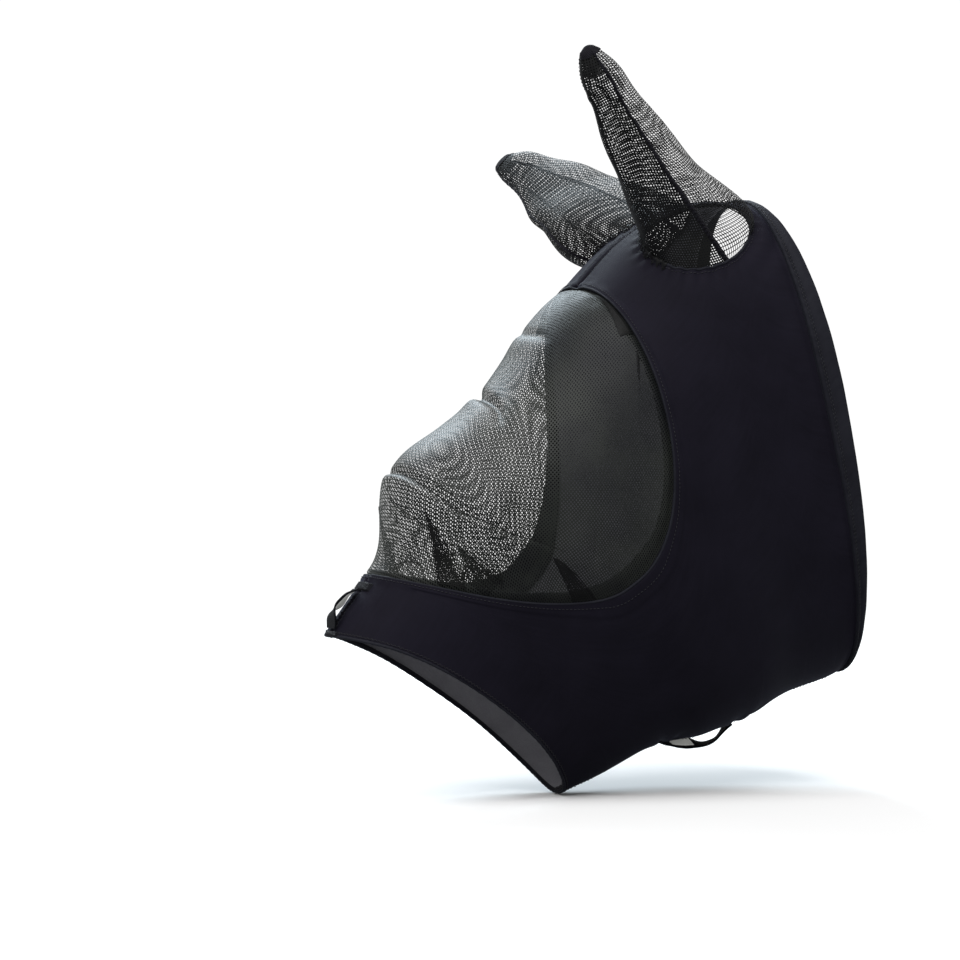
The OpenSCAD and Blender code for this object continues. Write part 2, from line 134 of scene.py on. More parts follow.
def through(table, t):
    """Catmull-Rom curve through the rows of the table."""
    last = len(table) - 1
    i = np.clip(np.floor(t).astype(int), 0, last - 1)
    u = (t - i)[..., None]
    a = table[np.maximum(i - 1, 0)]
    b = table[i]
    c = table[i + 1]
    d = table[np.minimum(i + 2, last)]
    return 0.5 * (2 * b + (c - a) * u + (2 * a - 5 * b + 4 * c - d) * u * u + (3 * b - a - 3 * c + d) * u**3)


def raw_hood_point(s, angle, off):
    """Point of the head form before it is put in its place, off mm outside it."""
    s, angle, off = np.broadcast_arrays(np.asarray(s, float), angle, off)
    q = through(STATIONS, s)
    half = (q[..., 0:2] - q[..., 2:4]) / 2
    length = np.linalg.norm(half, axis=-1)
    up = half / length[..., None]
    a = np.radians(angle)
    x = signed_pow(np.cos(a), 2 / FULLNESS)
    y = signed_pow(np.sin(a), 2 / FULLNESS)
    middle = (q[..., 0:2] + q[..., 2:4]) / 2
    along = (length + off) * x
    bow = q[..., 5] * y * y
    px = middle[..., 0] + up[..., 0] * along + up[..., 1] * bow
    pz = middle[..., 1] + up[..., 1] * along - up[..., 0] * bow
    across = (q[..., 4] + off) * (1 + TOP_HEAVY * x) * y
    return np.stack([px, -across, pz], -1) * MM


def frame_shift():
    """The head form's place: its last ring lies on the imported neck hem's rear and top faces."""
    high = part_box("neck_hem_band")[1]
    s = np.full(49, 7.0)
    angles = np.arange(0, 367.5, 7.5)
    rim = raw_hood_point(s, angles, FABRIC + 0.9)
    return np.array([high[0] - rim[:, 0].max(), 0, high[2] - rim[:, 2].max()])


SHIFT = frame_shift()


def hood_point(s, angle, off=0.0):
    """Point off mm outside the head form, in metres."""
    return raw_hood_point(s, angle, off) + SHIFT


def corners(u):
    """The outline's two powers: at its nose end for negative u, at its brow end for the rest."""
    k0 = np.where(u < 0, NOSE_CORNERS[0], BROW_CORNERS[0])
    k1 = np.where(u < 0, NOSE_CORNERS[1], BROW_CORNERS[1])
    return k0, k1


def screen_angle(s, scale):
    """Half angle of the eye opening's outline at a station, for a given size of the outline."""
    u = (s - SCREEN_MIDDLE) / (SCREEN_HALF * scale)
    k0, k1 = corners(u)
    return SCREEN_REACH * scale * np.maximum(1 - np.abs(u) ** k0, 0) ** (1 / k1)


def screen_scale(s, angle):
    """Size of the eye opening's outline that passes through a place: 1 on the nominal outline."""
    u = (s - SCREEN_MIDDLE) / SCREEN_HALF
    k0, k1 = corners(u)
    total = np.abs(u) ** k0 + (np.abs(angle) / SCREEN_REACH) ** k1
    return total ** (2 / (k0 + k1))


def outline(scale, f):
    """Stations and angles round the eye opening, f in degrees: 0 at the nose, 180 at the brow."""
    a = np.radians(f)
    k0, k1 = corners(-np.cos(a))
    u = -signed_pow(np.cos(a), 2 / k0)
    v = signed_pow(np.sin(a), 2 / k1)
    return SCREEN_MIDDLE + SCREEN_HALF * scale * u, SCREEN_REACH * scale * v


def dome(s, angle):
    """How far the net stands off the head."""
    u = (s - SCREEN_MIDDLE) / SCREEN_HALF
    k0, k1 = corners(u)
    inside = clamp01(1 - np.abs(u) ** k0 - (np.abs(angle) / SCREEN_REACH) ** k1)
    lift = 11 + 18 * bump(s - 1.9, 0.5)
    return (1 - (1 - inside) ** 3) * lift * bump(angle, 60)


def hem_start(angle):
    """Station where the neck hem starts, further forward at the sides."""
    return HEM_AT_TOP - HEM_DROP * np.abs(np.sin(np.radians(angle)))


# ---- smooth noise, the same on every run ----


def wave_noise(seed, x, y, scale, octaves=3):
    """Soft noise of about -1 to 1 from a few crossed waves. The scale is the longest wavelength."""
    rng = np.random.default_rng(seed)
    total = np.zeros(np.broadcast(x, y).shape)
    weight = 0
    for octave in range(octaves):
        size = scale / 1.9**octave
        share = 0.6**octave
        for _ in range(4):
            turn, phase = rng.uniform(0, 2 * math.pi, 2)
            stretch = rng.uniform(0.7, 1.3)
            total += share * np.sin(
                2 * math.pi * (x * math.cos(turn) + y * math.sin(turn)) * stretch / size + phase
            )
        weight += share * 2
    return total / weight


# ---- meshes ----


def new_mesh(name, points, faces, material):
    """A smooth-shaded object in the scene from points and quads."""
    mesh = bpy.data.meshes.new(name)
    points = np.asarray(points, float).reshape(-1, 3)
    faces = np.asarray(faces, int)
    mesh.vertices.add(len(points))
    mesh.vertices.foreach_set("co", points.astype(np.float32).ravel())
    sides = faces.shape[1]
    mesh.loops.add(faces.size)
    mesh.loops.foreach_set("vertex_index", faces.ravel().astype(np.int32))
    mesh.polygons.add(len(faces))
    mesh.polygons.foreach_set("loop_start", (np.arange(len(faces)) * sides).astype(np.int32))
    mesh.polygons.foreach_set("use_smooth", np.ones(len(faces), bool))
    mesh.update(calc_edges=True)
    mesh.validate()
    obj = bpy.data.objects.new(name, mesh)
    bpy.context.scene.collection.objects.link(obj)
    if material:
        mesh.materials.append(material)
    return obj


def grid_faces(rows, cols, wrap_rows=False, wrap_cols=False):
    """Quads over a grid of points, closed round its rows or columns where asked."""
    i = np.arange(rows if wrap_rows else rows - 1)
    j = np.arange(cols if wrap_cols else cols - 1)
    ii, jj = np.meshgrid(i, j, indexing="ij")
    i2 = (ii + 1) % rows
    j2 = (jj + 1) % cols
    quads = np.stack([ii * cols + jj, i2 * cols + jj, i2 * cols + j2, ii * cols + j2], -1)
    return quads.reshape(-1, 4)


def add_uv(obj, cloth):
    """Cloth coordinates in metres, one pair per vertex, for weaves that follow the fabric."""
    mesh = obj.data
    layer = mesh.uv_layers.new(name="cloth")
    index = np.zeros(len(mesh.loops), np.int32)
    mesh.loops.foreach_get("vertex_index", index)
    layer.data.foreach_set("uv", np.asarray(cloth, np.float32)[index].ravel())


def arc_lengths(points, axis):
    """Running length along one axis of a grid of points."""
    step = np.linalg.norm(np.diff(points, axis=axis), axis=-1)
    start = np.zeros_like(np.take(step, [0], axis=axis))
    return np.cumsum(np.concatenate([start, step], axis=axis), axis=axis)


def grid_cloth(points):
    """Cloth coordinates of a grid of points, metres along its rows and columns."""
    return np.stack([arc_lengths(points, 1), arc_lengths(points, 0)], -1).reshape(-1, 2)


def compact(points, faces):
    """The points that faces use, the faces over them, and the used points' old numbers."""
    used = np.unique(faces)
    place = np.full(len(points), -1)
    place[used] = np.arange(len(used))
    return points[used], place[faces], used


def sheet(name, points, material, thickness=0.0, keep=None, wrap_rows=False, flip=False):
    """A cloth sheet from a grid of points in metres. keep marks the grid's cells that stay."""
    rows, cols = points.shape[:2]
    faces = grid_faces(rows, cols, wrap_rows)
    if keep is not None:
        faces = faces[keep.ravel()]
    if flip:
        faces = faces[:, ::-1]
    flat, faces, used = compact(points.reshape(-1, 3), faces)
    obj = new_mesh(name, flat, faces, material)
    add_uv(obj, grid_cloth(points)[used])
    if thickness:
        solid = obj.modifiers.new("cloth thickness", "SOLIDIFY")
        solid.thickness = thickness
        solid.offset = -1
        solid.use_even_offset = False
    return obj


def unit(v):
    return v / np.maximum(np.linalg.norm(v, axis=-1, keepdims=True), 1e-12)


def path_frames(path, normals, closed):
    """Directions across a path and outward from it, at each of its points."""
    way = np.roll(path, -1, 0) - np.roll(path, 1, 0) if closed else np.gradient(path, axis=0)
    way = unit(way)
    out = unit(normals - way * np.sum(normals * way, -1, keepdims=True))
    return np.cross(way, out), out


def oval_tube(path, normals, closed, sides, wide, high):
    """Rings of points, an oval section swept along a path. wide and high may differ from point to point."""
    side, out = path_frames(path, normals, closed)
    a = np.linspace(0, 2 * math.pi, sides, endpoint=False)
    wide = np.broadcast_to(wide, len(path))[:, None, None]
    high = np.broadcast_to(high, len(path))[:, None, None]
    ring = side[:, None] * np.cos(a)[None, :, None] * wide + out[:, None] * np.sin(a)[None, :, None] * high
    return path[:, None] + ring


CORD_SIDES = 10


def cord(name, path, normals, material, wide, high, ripple):
    """A rolled edge round a closed path. ripple scales its section at each point."""
    points = oval_tube(path, normals, True, CORD_SIDES, wide * ripple, high * ripple)
    obj = new_mesh(name, points, grid_faces(len(path), CORD_SIDES, True, True), material)
    add_uv(obj, grid_cloth(points))
    return obj


STITCH_SIDES = 6
# places of a stitch's rings along its half length, and their sizes as shares of its radius
STITCH_RINGS = ((-1.0, 0.15), (-0.8, 0.8), (-0.3, 1.0), (0.3, 1.0), (0.8, 0.8), (1.0, 0.15))


def resample(path, normals, step, closed):
    """Places every step metres along a path, with the directions along it, across it and outward."""
    if closed:
        path = np.concatenate([path, path[:1]])
        normals = np.concatenate([normals, normals[:1]])
    run = arc_lengths(path, 0)

    def sample(rows, at):
        return np.stack([np.interp(at, run, rows[:, k]) for k in range(3)], -1)

    count = max(int(run[-1] / step), 2)
    at = (np.arange(count) + 0.5) * run[-1] / count
    ahead = sample(path, np.minimum(at + 1e-4, run[-1]))
    behind = sample(path, np.maximum(at - 1e-4, 0))
    way = unit(ahead - behind)
    out = unit(sample(normals, at))
    return sample(path, at), way, np.cross(way, out), out


def thread_bars(starts, ends, outs, radius, arch=0.0):
    """Short bars of thread between pairs of points, sinking into the cloth at both ends."""
    middle = (starts + ends) / 2
    way = ends - starts
    along = unit(way)
    out = unit(outs - along * np.sum(outs * along, -1, keepdims=True))
    side = np.cross(along, out)
    a = np.linspace(0, 2 * math.pi, STITCH_SIDES, endpoint=False)
    rings = []
    for t, size in STITCH_RINGS:
        centre = middle + way * (t / 2) + out * (arch * (1 - t * t) - arch * 0.5 * abs(t))
        ring = side[:, None] * np.cos(a)[None, :, None] + out[:, None] * np.sin(a)[None, :, None]
        rings.append(centre[:, None] + ring * (radius * size))
    points = np.stack(rings, 1)
    count, ring_count = points.shape[:2]
    one = grid_faces(ring_count, STITCH_SIDES, False, True)
    cap = np.array([[0, 1, 2, 3], [0, 3, 4, 5]])
    one = np.concatenate([one, cap[:, ::-1], cap + (ring_count - 1) * STITCH_SIDES])
    faces = one[None] + (np.arange(count) * ring_count * STITCH_SIDES)[:, None, None]
    return points.reshape(-1, 3), faces.reshape(-1, 4)


def merge(parts):
    """One list of points and one of faces from several."""
    points, faces, base = [], [], 0
    for p, f in parts:
        points.append(p)
        faces.append(f + base)
        base += len(p)
    return np.concatenate(points), np.concatenate(faces)


def stitch_row(path, normals, size, closed=True):
    """Running stitches along a path. The size is a stitch's pitch, length and radius in mm."""
    pitch, length, radius = size
    place, way, side, out = resample(path, normals, pitch * MM, closed)
    reach = way * (length * MM / 2)
    return thread_bars(place - reach, place + reach, out, radius * MM, 0.3 * MM)


def zigzag_row(path, normals, size):
    """Zigzag stitches, to and fro across a closed path. The size is their pitch, width and radius in mm."""
    pitch, width, radius = np.array(size) * MM
    place, way, side, out = resample(path, normals, pitch, True)
    sign = np.where(np.arange(len(place)) % 2, 1.0, -1.0)[:, None]
    reach = way * (pitch / 2) + side * sign * (width / 2)
    return thread_bars(place - reach, place + reach, out, radius, 0.2 * MM)


def numeric_normals(point, s, angle, off):
    """Outward normals of a surface given as point(s, angle, off)."""
    ds = point(s + 0.01, angle, off) - point(s - 0.01, angle, off)
    da = point(s, angle + 0.3, off) - point(s, angle - 0.3, off)
    n = unit(np.cross(ds, da))
    out = point(s, angle, off + 1.0) - point(s, angle, off)
    return n * np.sign(np.sum(n * out, -1, keepdims=True) + 1e-12)


# ---- materials ----


WAVE_UNIT = 20  # Blender's wave texture has this many radians to a unit of its scale


class Nodes:
    """Short names for building a node tree."""

    def __init__(self, name):
        self.material = bpy.data.materials.new(name)
        self.material.use_nodes = True
        self.tree = self.material.node_tree
        self.shader = next(n for n in self.tree.nodes if n.type == "BSDF_PRINCIPLED")

    def add(self, kind, **values):
        node = self.tree.nodes.new(kind)
        for key, value in values.items():
            if key in node.inputs:
                node.inputs[key].default_value = value
            else:
                setattr(node, key, value)
        return node

    def link(self, a, b):
        self.tree.links.new(a, b)

    def cloth(self, scale=(1, 1, 1)):
        """Cloth coordinates times a scale, which may differ along and across."""
        uv = self.add("ShaderNodeUVMap", uv_map="cloth")
        mapping = self.add("ShaderNodeMapping")
        mapping.inputs["Scale"].default_value = scale
        self.link(uv.outputs["UV"], mapping.inputs["Vector"])
        return mapping.outputs["Vector"]

    def noise(self, scale, detail, roughness=0.55, vector=None):
        """Noise over the object's place, or over another vector."""
        node = self.add("ShaderNodeTexNoise", Scale=scale, Detail=detail, Roughness=roughness)
        self.link(vector or self.add("ShaderNodeTexCoord").outputs["Object"], node.inputs["Vector"])
        return node.outputs["Fac"]

    def ribs(self, pitch, direction, distortion):
        """Ribs in the cloth, a pitch in mm apart."""
        scale = 2 * math.pi / (pitch * MM) / WAVE_UNIT
        node = self.add("ShaderNodeTexWave", bands_direction=direction, Scale=scale, Distortion=distortion)
        self.link(self.cloth(), node.inputs["Vector"])
        return node.outputs["Fac"]

    def math(self, operation, a, b):
        node = self.add("ShaderNodeMath", operation=operation)
        for socket, value in zip(node.inputs, (a, b)):
            if isinstance(value, (int, float)):
                socket.default_value = value
            else:
                self.link(value, socket)
        return node.outputs[0]

    def blend(self, a, share, b):
        """A share of a and the rest of b."""
        return self.math("ADD", self.math("MULTIPLY", a, share), self.math("MULTIPLY", b, 1 - share))

    def ramp(self, value, dark, light, start=0.3, end=0.7):
        """A colour that goes from dark to light as the value goes from start to end."""
        node = self.add("ShaderNodeValToRGB")
        for element, at, colour in zip(node.color_ramp.elements, (start, end), (dark, light)):
            element.position = at
            element.color = (*colour, 1)
        self.link(value, node.inputs["Fac"])
        return node.outputs["Color"]

    def span(self, value, low, high):
        """A value of 0 to 1 stretched to run from low to high."""
        node = self.add("ShaderNodeMapRange")
        node.inputs["To Min"].default_value = low
        node.inputs["To Max"].default_value = high
        self.link(value, node.inputs["Value"])
        return node.outputs["Result"]

    def finish(self, colour, roughness, specular=None, sheen=None, sheen_roughness=None, tint=None):
        """Sets the shader's colour, roughness, gloss and sheen; None leaves a setting as it is."""
        self.link(colour, self.shader.inputs["Base Color"])
        self.link(roughness, self.shader.inputs["Roughness"])
        settings = {
            "Specular IOR Level": specular,
            "Sheen Weight": sheen,
            "Sheen Roughness": sheen_roughness,
            "Sheen Tint": tint and (*tint, 1),
        }
        for name, value in settings.items():
            if value is not None:
                self.shader.inputs[name].default_value = value

    def bumps(self, *layers):
        """Bump layers as (height, strength, distance in mm), one over another. Returns the material."""
        last = None
        for height, strength, distance in layers:
            node = self.add("ShaderNodeBump", Strength=strength, Distance=distance * MM)
            self.link(height, node.inputs["Height"])
            if last:
                self.link(last, node.inputs["Normal"])
            last = node.outputs["Normal"]
        self.link(last, self.shader.inputs["Normal"])
        return self.material


def stretch_fabric():
    """Black two-way stretch knit: fine wales, faint mottling, a cool sheen at a low angle."""
    m = Nodes("stretch_fabric")
    knit = m.math("MULTIPLY", m.ribs(1.1, "X", 0.4), m.ribs(0.8, "Y", 0.4))
    streaks = m.noise(1.0, 2, vector=m.cloth((260, 22, 1)))
    tone = m.blend(m.noise(26, 4), 0.7, streaks)
    colour = m.ramp(tone, (0.0066, 0.0058, 0.0102), (0.0108, 0.0096, 0.0165))
    m.finish(colour, m.span(tone, 0.62, 0.78), 0.06, 0.075, 0.35, (0.60, 0.68, 0.95))
    return m.bumps((knit, 0.25, 0.3), (streaks, 0.12, 0.4))


def fabric_reverse():
    """The hood's inner face: the same knit, brushed, so it is greyer and matt."""
    m = Nodes("stretch_fabric_reverse")
    nap = m.noise(900, 4, 0.7)
    tone = m.blend(m.noise(40, 4), 0.6, nap)
    colour = m.ramp(tone, (0.105, 0.104, 0.116), (0.165, 0.163, 0.178))
    m.finish(colour, m.span(nap, 0.85, 1.0), 0.05, 0.25)
    return m.bumps((nap, 0.5, 0.5))


def hem_fabric():
    """The same knit folded double: a little greyer, with the fold's soft ridges."""
    m = Nodes("hem_fabric")
    streaks = m.noise(1.0, 2, vector=m.cloth((40, 400, 1)))
    tone = m.blend(m.noise(34, 4), 0.6, streaks)
    colour = m.ramp(tone, (0.0085, 0.0085, 0.0130), (0.0175, 0.0180, 0.0245))
    m.finish(colour, m.span(tone, 0.55, 0.72), 0.10, 0.08, 0.3, (0.6, 0.74, 0.84))
    return m.bumps((m.ribs(1.2, "Y", 0.5), 0.3, 0.3), (streaks, 0.2, 0.4))


def net_thread(name, dark, light, specular, sheen):
    """Coated net thread, with the tone drifting over the sheet and a fine twist along each strand."""
    m = Nodes(name)
    fine = m.noise(1400, 2)
    colour = m.ramp(m.blend(m.noise(18, 3), 0.75, fine), dark, light, 0.35, 0.68)
    m.finish(colour, m.span(fine, 0.38, 0.6), specular, sheen, tint=(0.72, 0.8, 0.7))
    return m.bumps((fine, 0.3, 0.2))


def seam_tape():
    """Woven binding tape: a fine twill with fuzzy edges."""
    m = Nodes("seam_tape")
    twill = m.ribs(1.2, "DIAGONAL", 0.3)
    mottle = m.noise(60, 4)
    tone = m.blend(twill, 0.35, mottle)
    colour = m.ramp(tone, (0.0035, 0.0033, 0.0050), (0.0130, 0.0122, 0.0175), end=0.75)
    m.finish(colour, m.span(mottle, 0.7, 0.9), 0.1, 0.04)
    return m.bumps((twill, 0.5, 0.3), (mottle, 0.2, 0.6))


def thread():
    """Spun sewing thread, slightly glossier than the cloth it sits on."""
    m = Nodes("thread")
    twist = m.noise(2600, 2)
    colour = m.ramp(m.blend(twist, 0.5, m.noise(90, 2)), (0.006, 0.006, 0.009), (0.014, 0.014, 0.019))
    m.finish(colour, m.span(twist, 0.4, 0.65), 0.4)
    return m.bumps((twist, 0.5, 0.2))


def webbing():
    """Ribbed black ribbon: cross ribs, fine yarns and faint mottling."""
    m = Nodes("webbing")
    weave = m.blend(m.ribs(1.4, "Y", 0.2), 0.7, m.ribs(0.7, "X", 0.2))
    mottle = m.noise(120, 3)
    tone = m.blend(weave, 0.4, mottle)
    colour = m.ramp(tone, (0.0026, 0.0027, 0.0040), (0.0080, 0.0083, 0.0112), end=0.75)
    m.finish(colour, m.span(mottle, 0.6, 0.85), 0.08, 0.02)
    return m.bumps((weave, 0.6, 0.3))


def silver_strip():
    """Light grey reflective tape: fine beads, faint ribs across it and a few dull patches."""
    m = Nodes("silver_strip")
    beads = m.noise(3000, 2)
    tone = m.blend(m.noise(150, 4), 0.8, beads)
    colour = m.ramp(tone, (0.74, 0.75, 0.71), (0.90, 0.91, 0.87), end=0.65)
    m.finish(colour, m.span(tone, 0.32, 0.55))
    # a weak glow stands in for the light that reflective tape sends back
    m.link(colour, m.shader.inputs["Emission Color"])
    m.shader.inputs["Emission Strength"].default_value = 0.16
    return m.bumps((m.ribs(1.4, "Y", 0.2), 0.15, 0.2), (beads, 0.3, 0.1))


def floor_material():
    """Pale floor, white to the camera, that throws less light back up, like a flagged studio floor."""
    m = Nodes("studio_floor")
    seen = m.ramp(m.noise(3, 2), (0.86, 0.86, 0.86), (0.89, 0.89, 0.89))
    choice = m.add("ShaderNodeMix", data_type="RGBA")
    choice.inputs["A"].default_value = (0.28, 0.28, 0.29, 1)
    m.link(m.add("ShaderNodeLightPath").outputs["Is Camera Ray"], choice.inputs["Factor"])
    m.link(seen, choice.inputs["B"])
    m.link(choice.outputs["Result"], m.shader.inputs["Base Color"])
    m.shader.inputs["Roughness"].default_value = 0.9
    m.shader.inputs["Specular IOR Level"].default_value = 0.1
    return m.material


CLOTH = stretch_fabric()
REVERSE = fabric_reverse()
HEM = hem_fabric()
EYE_NET = net_thread("eye_net", (0.007, 0.008, 0.009), (0.024, 0.027, 0.022), 0.22, 0.04)
EAR_NET = net_thread("ear_net", (0.0040, 0.0040, 0.0052), (0.0125, 0.0130, 0.0125), 0.14, 0.02)
DOUBLED_NET = net_thread("doubled_net", (0.0030, 0.0030, 0.0042), (0.0095, 0.0100, 0.0090), 0.12, 0.015)
TAPE = seam_tape()
THREAD = thread()
WEBBING = webbing()
SILVER = silver_strip()


def in_slot(obj, node=None):
    """Hides the CAD node that a piece stands in for, if one is given."""
    if node:
        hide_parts(node)
    return obj


def on_hood(obj, node=None):
    """A piece that moves with the hood."""
    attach(obj, "hood")
    return in_slot(obj, node)


def sewn(name, parts, material, node=None):
    """One piece on the hood, merged from several parts."""
    points, faces = merge(parts)
    return on_hood(new_mesh(name, points, faces, material), node)


# ---- hood panels ----

HOOD_EDGE = 1.008  # size of the hood's opening over the screen's outline
SCREEN_MM = 118  # rough distance for a whole step in the outline's size, mm
SEAM_WIDTH = 5.0  # width of the turned edges beside the opening, mm
PANEL_COLUMNS = 150


def edge_distance(s, angle):
    """Rough distance outside the eye opening's edge, mm."""
    return (screen_scale(s, angle) - HOOD_EDGE) * SCREEN_MM


def ring_distance(s, angle):
    """Rough distance outside an ear's root ring, mm, and the angle around the ring, degrees."""
    x = -(s - EAR_STATION) / EAR_ROOT[0]
    y = (np.abs(angle) - EAR_ANGLE) / EAR_ROOT[1]
    size = np.hypot(x, y)
    around = np.degrees(np.arctan2(y, x))
    return (size - 1) * 38, around


def hood_relief(s, angle, side):
    """Height of the cloth over the plain head form, mm: seams, puckers and soft folds."""
    a = np.abs(angle)
    edge = edge_distance(s, a)
    height = 0.7 * smooth((SEAM_WIDTH + 1.2 - edge) / 1.6) * (edge < 40)
    round_edge = np.arctan2(a / SCREEN_REACH, s - SCREEN_MIDDLE)
    pucker = np.sin(round_edge * 92 + 2.0 * np.sin(round_edge * 17) + side)
    height += 0.22 * pucker * bump(edge - SEAM_WIDTH, 3.2)
    # the seams on the top and jaw lines: a shallow groove between two rounded edges
    crown = a * 1.25
    jaw = (180 - a) * 1.3
    for seam, seed in ((crown, 0.0), (jaw, 1.7)):
        height -= 1.5 * bump(seam, 1.1)
        height += 0.45 * bump(seam - 3.0, 1.8)
        height += 0.30 * bump(seam - 3.6, 2.6) * np.sin(s * 118 + seed + 1.5 * np.sin(s * 21 + seed))
    # the elastic nose edge draws the cloth in
    nose = s * 58
    height -= 0.5 * bump(nose, 2.2)
    height += 0.28 * bump(nose - 4.5, 3.0) * np.sin(a * 1.9 + 2 * np.sin(a * 0.31) + side)
    # gathers where the cloth meets an ear's root, strongest at its front
    gap, around = ring_distance(s, a)
    front = 0.4 + 0.6 * bump(around, 70)
    height += 1.2 * bump(gap - 0.5, 2.2)
    height += 0.9 * front * bump(gap - 4, 6) * np.sin(np.radians(around) * 26 + side)
    rear_fold = bump(around - 150, 32) + bump(around + 165, 18)
    height += 1.6 * rear_fold * bump(gap - 11, 5.5) - 0.9 * rear_fold * bump(gap - 19, 5.0)
    # soft folds above each end of the jaw loop
    for centre in (2.16, 3.80):
        ds = (s - centre) * 55
        rise = (180 - a) * 1.5
        fan = np.arctan2(ds, rise + 6)
        height += 1.5 * bump(rise - 10, 20) * bump(ds, 22) * np.sin(fan * 9 + 0.8)
    # the nose loop's tacks pinch the band
    for centre in (0.07, 0.90):
        height -= 0.7 * bump((s - centre) * 60, 4) * bump(a, 7)
    # slow tension folds over the cheek and along the rear edge
    height += 0.55 * wave_noise(11 + int(side > 0), s * 60, a * 1.7, 150, 2)
    lean = (s - hem_start(a)) * 50
    height += 1.0 * bump(lean + 12, 9) * wave_noise(21 + int(side > 0), s * 10, a * 1.7, 60, 2)
    height -= 0.9 * bump(lean + 2, 3)
    return height


def relief_at(s, angle):
    """hood_relief for signed angles, on whichever side they are."""
    angle = (angle + 180) % 360 - 180
    return np.where(angle >= 0, hood_relief(s, angle, 1), hood_relief(s, angle, -1))


def hood_row(s, angle, rise):
    """Points a little over the hood's outer face, rise in mm, and their normals."""
    relief = relief_at(s, angle)
    return hood_point(s, angle, FABRIC + relief + rise), numeric_normals(hood_point, s, angle, relief)


def panel_stations():
    """Stations of a panel's rows, closest where the eye opening's edge turns."""
    start = SCREEN_MIDDLE - SCREEN_HALF * HOOD_EDGE
    end = SCREEN_MIDDLE + SCREEN_HALF * HOOD_EDGE
    nose = np.linspace(0, start - 0.004, 32)
    f = np.radians(np.linspace(1.0, 179.0, 128))
    eye = SCREEN_MIDDLE - SCREEN_HALF * HOOD_EDGE * np.cos(f)
    rear = np.linspace(end + 0.006, 7.0, 92)
    return np.concatenate([nose, eye, rear])


def panel_places():
    """Stations and angles of one side's grid; the rear rows follow the slanted start of the hem."""
    base = panel_stations()
    low = np.maximum(np.nan_to_num(screen_angle(base, HOOD_EDGE)), 0.0)
    share = np.linspace(0, 1, PANEL_COLUMNS)[None]
    squeeze = np.clip(110 / np.maximum(low, 1), 1, 8)[:, None]
    angles = 180 * share + low[:, None] * (1 - share) ** squeeze
    start = SCREEN_MIDDLE + SCREEN_HALF * HOOD_EDGE
    lean = clamp01((base - start) / (7.0 - start))[:, None]
    end = hem_start(angles) + 0.03
    stations = base[:, None] + lean * (end - 7.0)
    return stations, angles


def on_side(side, p):
    """Left-side places or directions as they are for side -1, mirrored for side 1."""
    return p * np.array([1, -side, 1])


def ear_hole(stations, angles):
    """Cells outside the ear's hole, and the places with the hole's edge pulled onto its ring."""
    x = (stations - EAR_STATION) / (EAR_ROOT[0] + EAR_HOLE[0])
    y = (angles - EAR_ANGLE) / (EAR_ROOT[1] + EAR_HOLE[1])
    size = np.hypot(x, y)
    inside = size < 1
    keep = ~(inside[:-1, :-1] & inside[1:, :-1] & inside[:-1, 1:] & inside[1:, 1:])
    pull = inside & (size > 0.5)
    scale = np.where(pull, 1 / np.maximum(size, 1e-6), 1)
    stations = np.where(pull, EAR_STATION + (stations - EAR_STATION) * scale, stations)
    angles = np.where(pull, EAR_ANGLE + (angles - EAR_ANGLE) * scale, angles)
    return keep, stations, angles


def hood_panel(name, side):
    """One side of the hood, with its ear hole. side 1 is the left panel, -1 the right."""
    stations, angles = panel_places()
    keep, stations, angles = ear_hole(stations, angles)
    off = FABRIC + hood_relief(stations, angles, side) - 0.2
    points = on_side(-side, hood_point(stations, angles, off))
    obj = sheet(name, points, CLOTH, thickness=1.2 * MM, keep=keep, flip=side > 0)
    obj.data.materials.append(REVERSE)
    obj.modifiers[0].material_offset = 1
    on_hood(obj, name)


# ---- tapes inside the hood ----

TAPE_STITCH = (3.0, 2.1, 0.24)


def inner_tape(name, from_s, to_s, centre, half, seed):
    """A tape under a seam, between two stations, with a half width in degrees."""
    s = np.linspace(from_s, to_s, 260)[:, None]
    a = np.linspace(-half, half, 13)[None] + centre
    wander = 0.25 * wave_noise(seed, s * 60, 0 * s, 40, 2)
    off = -1.6 - 0.35 * np.cos((a - centre) / half * math.pi)
    off = off + 0.25 * wave_noise(seed + 1, s * 60, a * 2, 24, 2)
    on_hood(sheet(name, hood_point(s, a + wander, off), TAPE, 0.7 * MM, flip=True), name)


def tape_stitches(name, from_s, to_s, centre, half):
    """Two rows of stitches hold an inner tape; the same rows show on the outside beside the seam."""
    s = np.linspace(from_s, to_s, 200)
    parts = []
    for edge in (-1, 1):
        angle = np.full_like(s, centre + edge * half * 0.72)
        inward = -numeric_normals(hood_point, s, angle, 0.0)
        parts.append(stitch_row(hood_point(s, angle, -2.5), inward, TAPE_STITCH, False))
        parts.append(stitch_row(*hood_row(s, angle, 0.05), TAPE_STITCH, False))
    sewn(name, parts, THREAD)


# ---- nose edge ----

NOSE_ZIGZAG = (1.5, 1.4, 0.2)


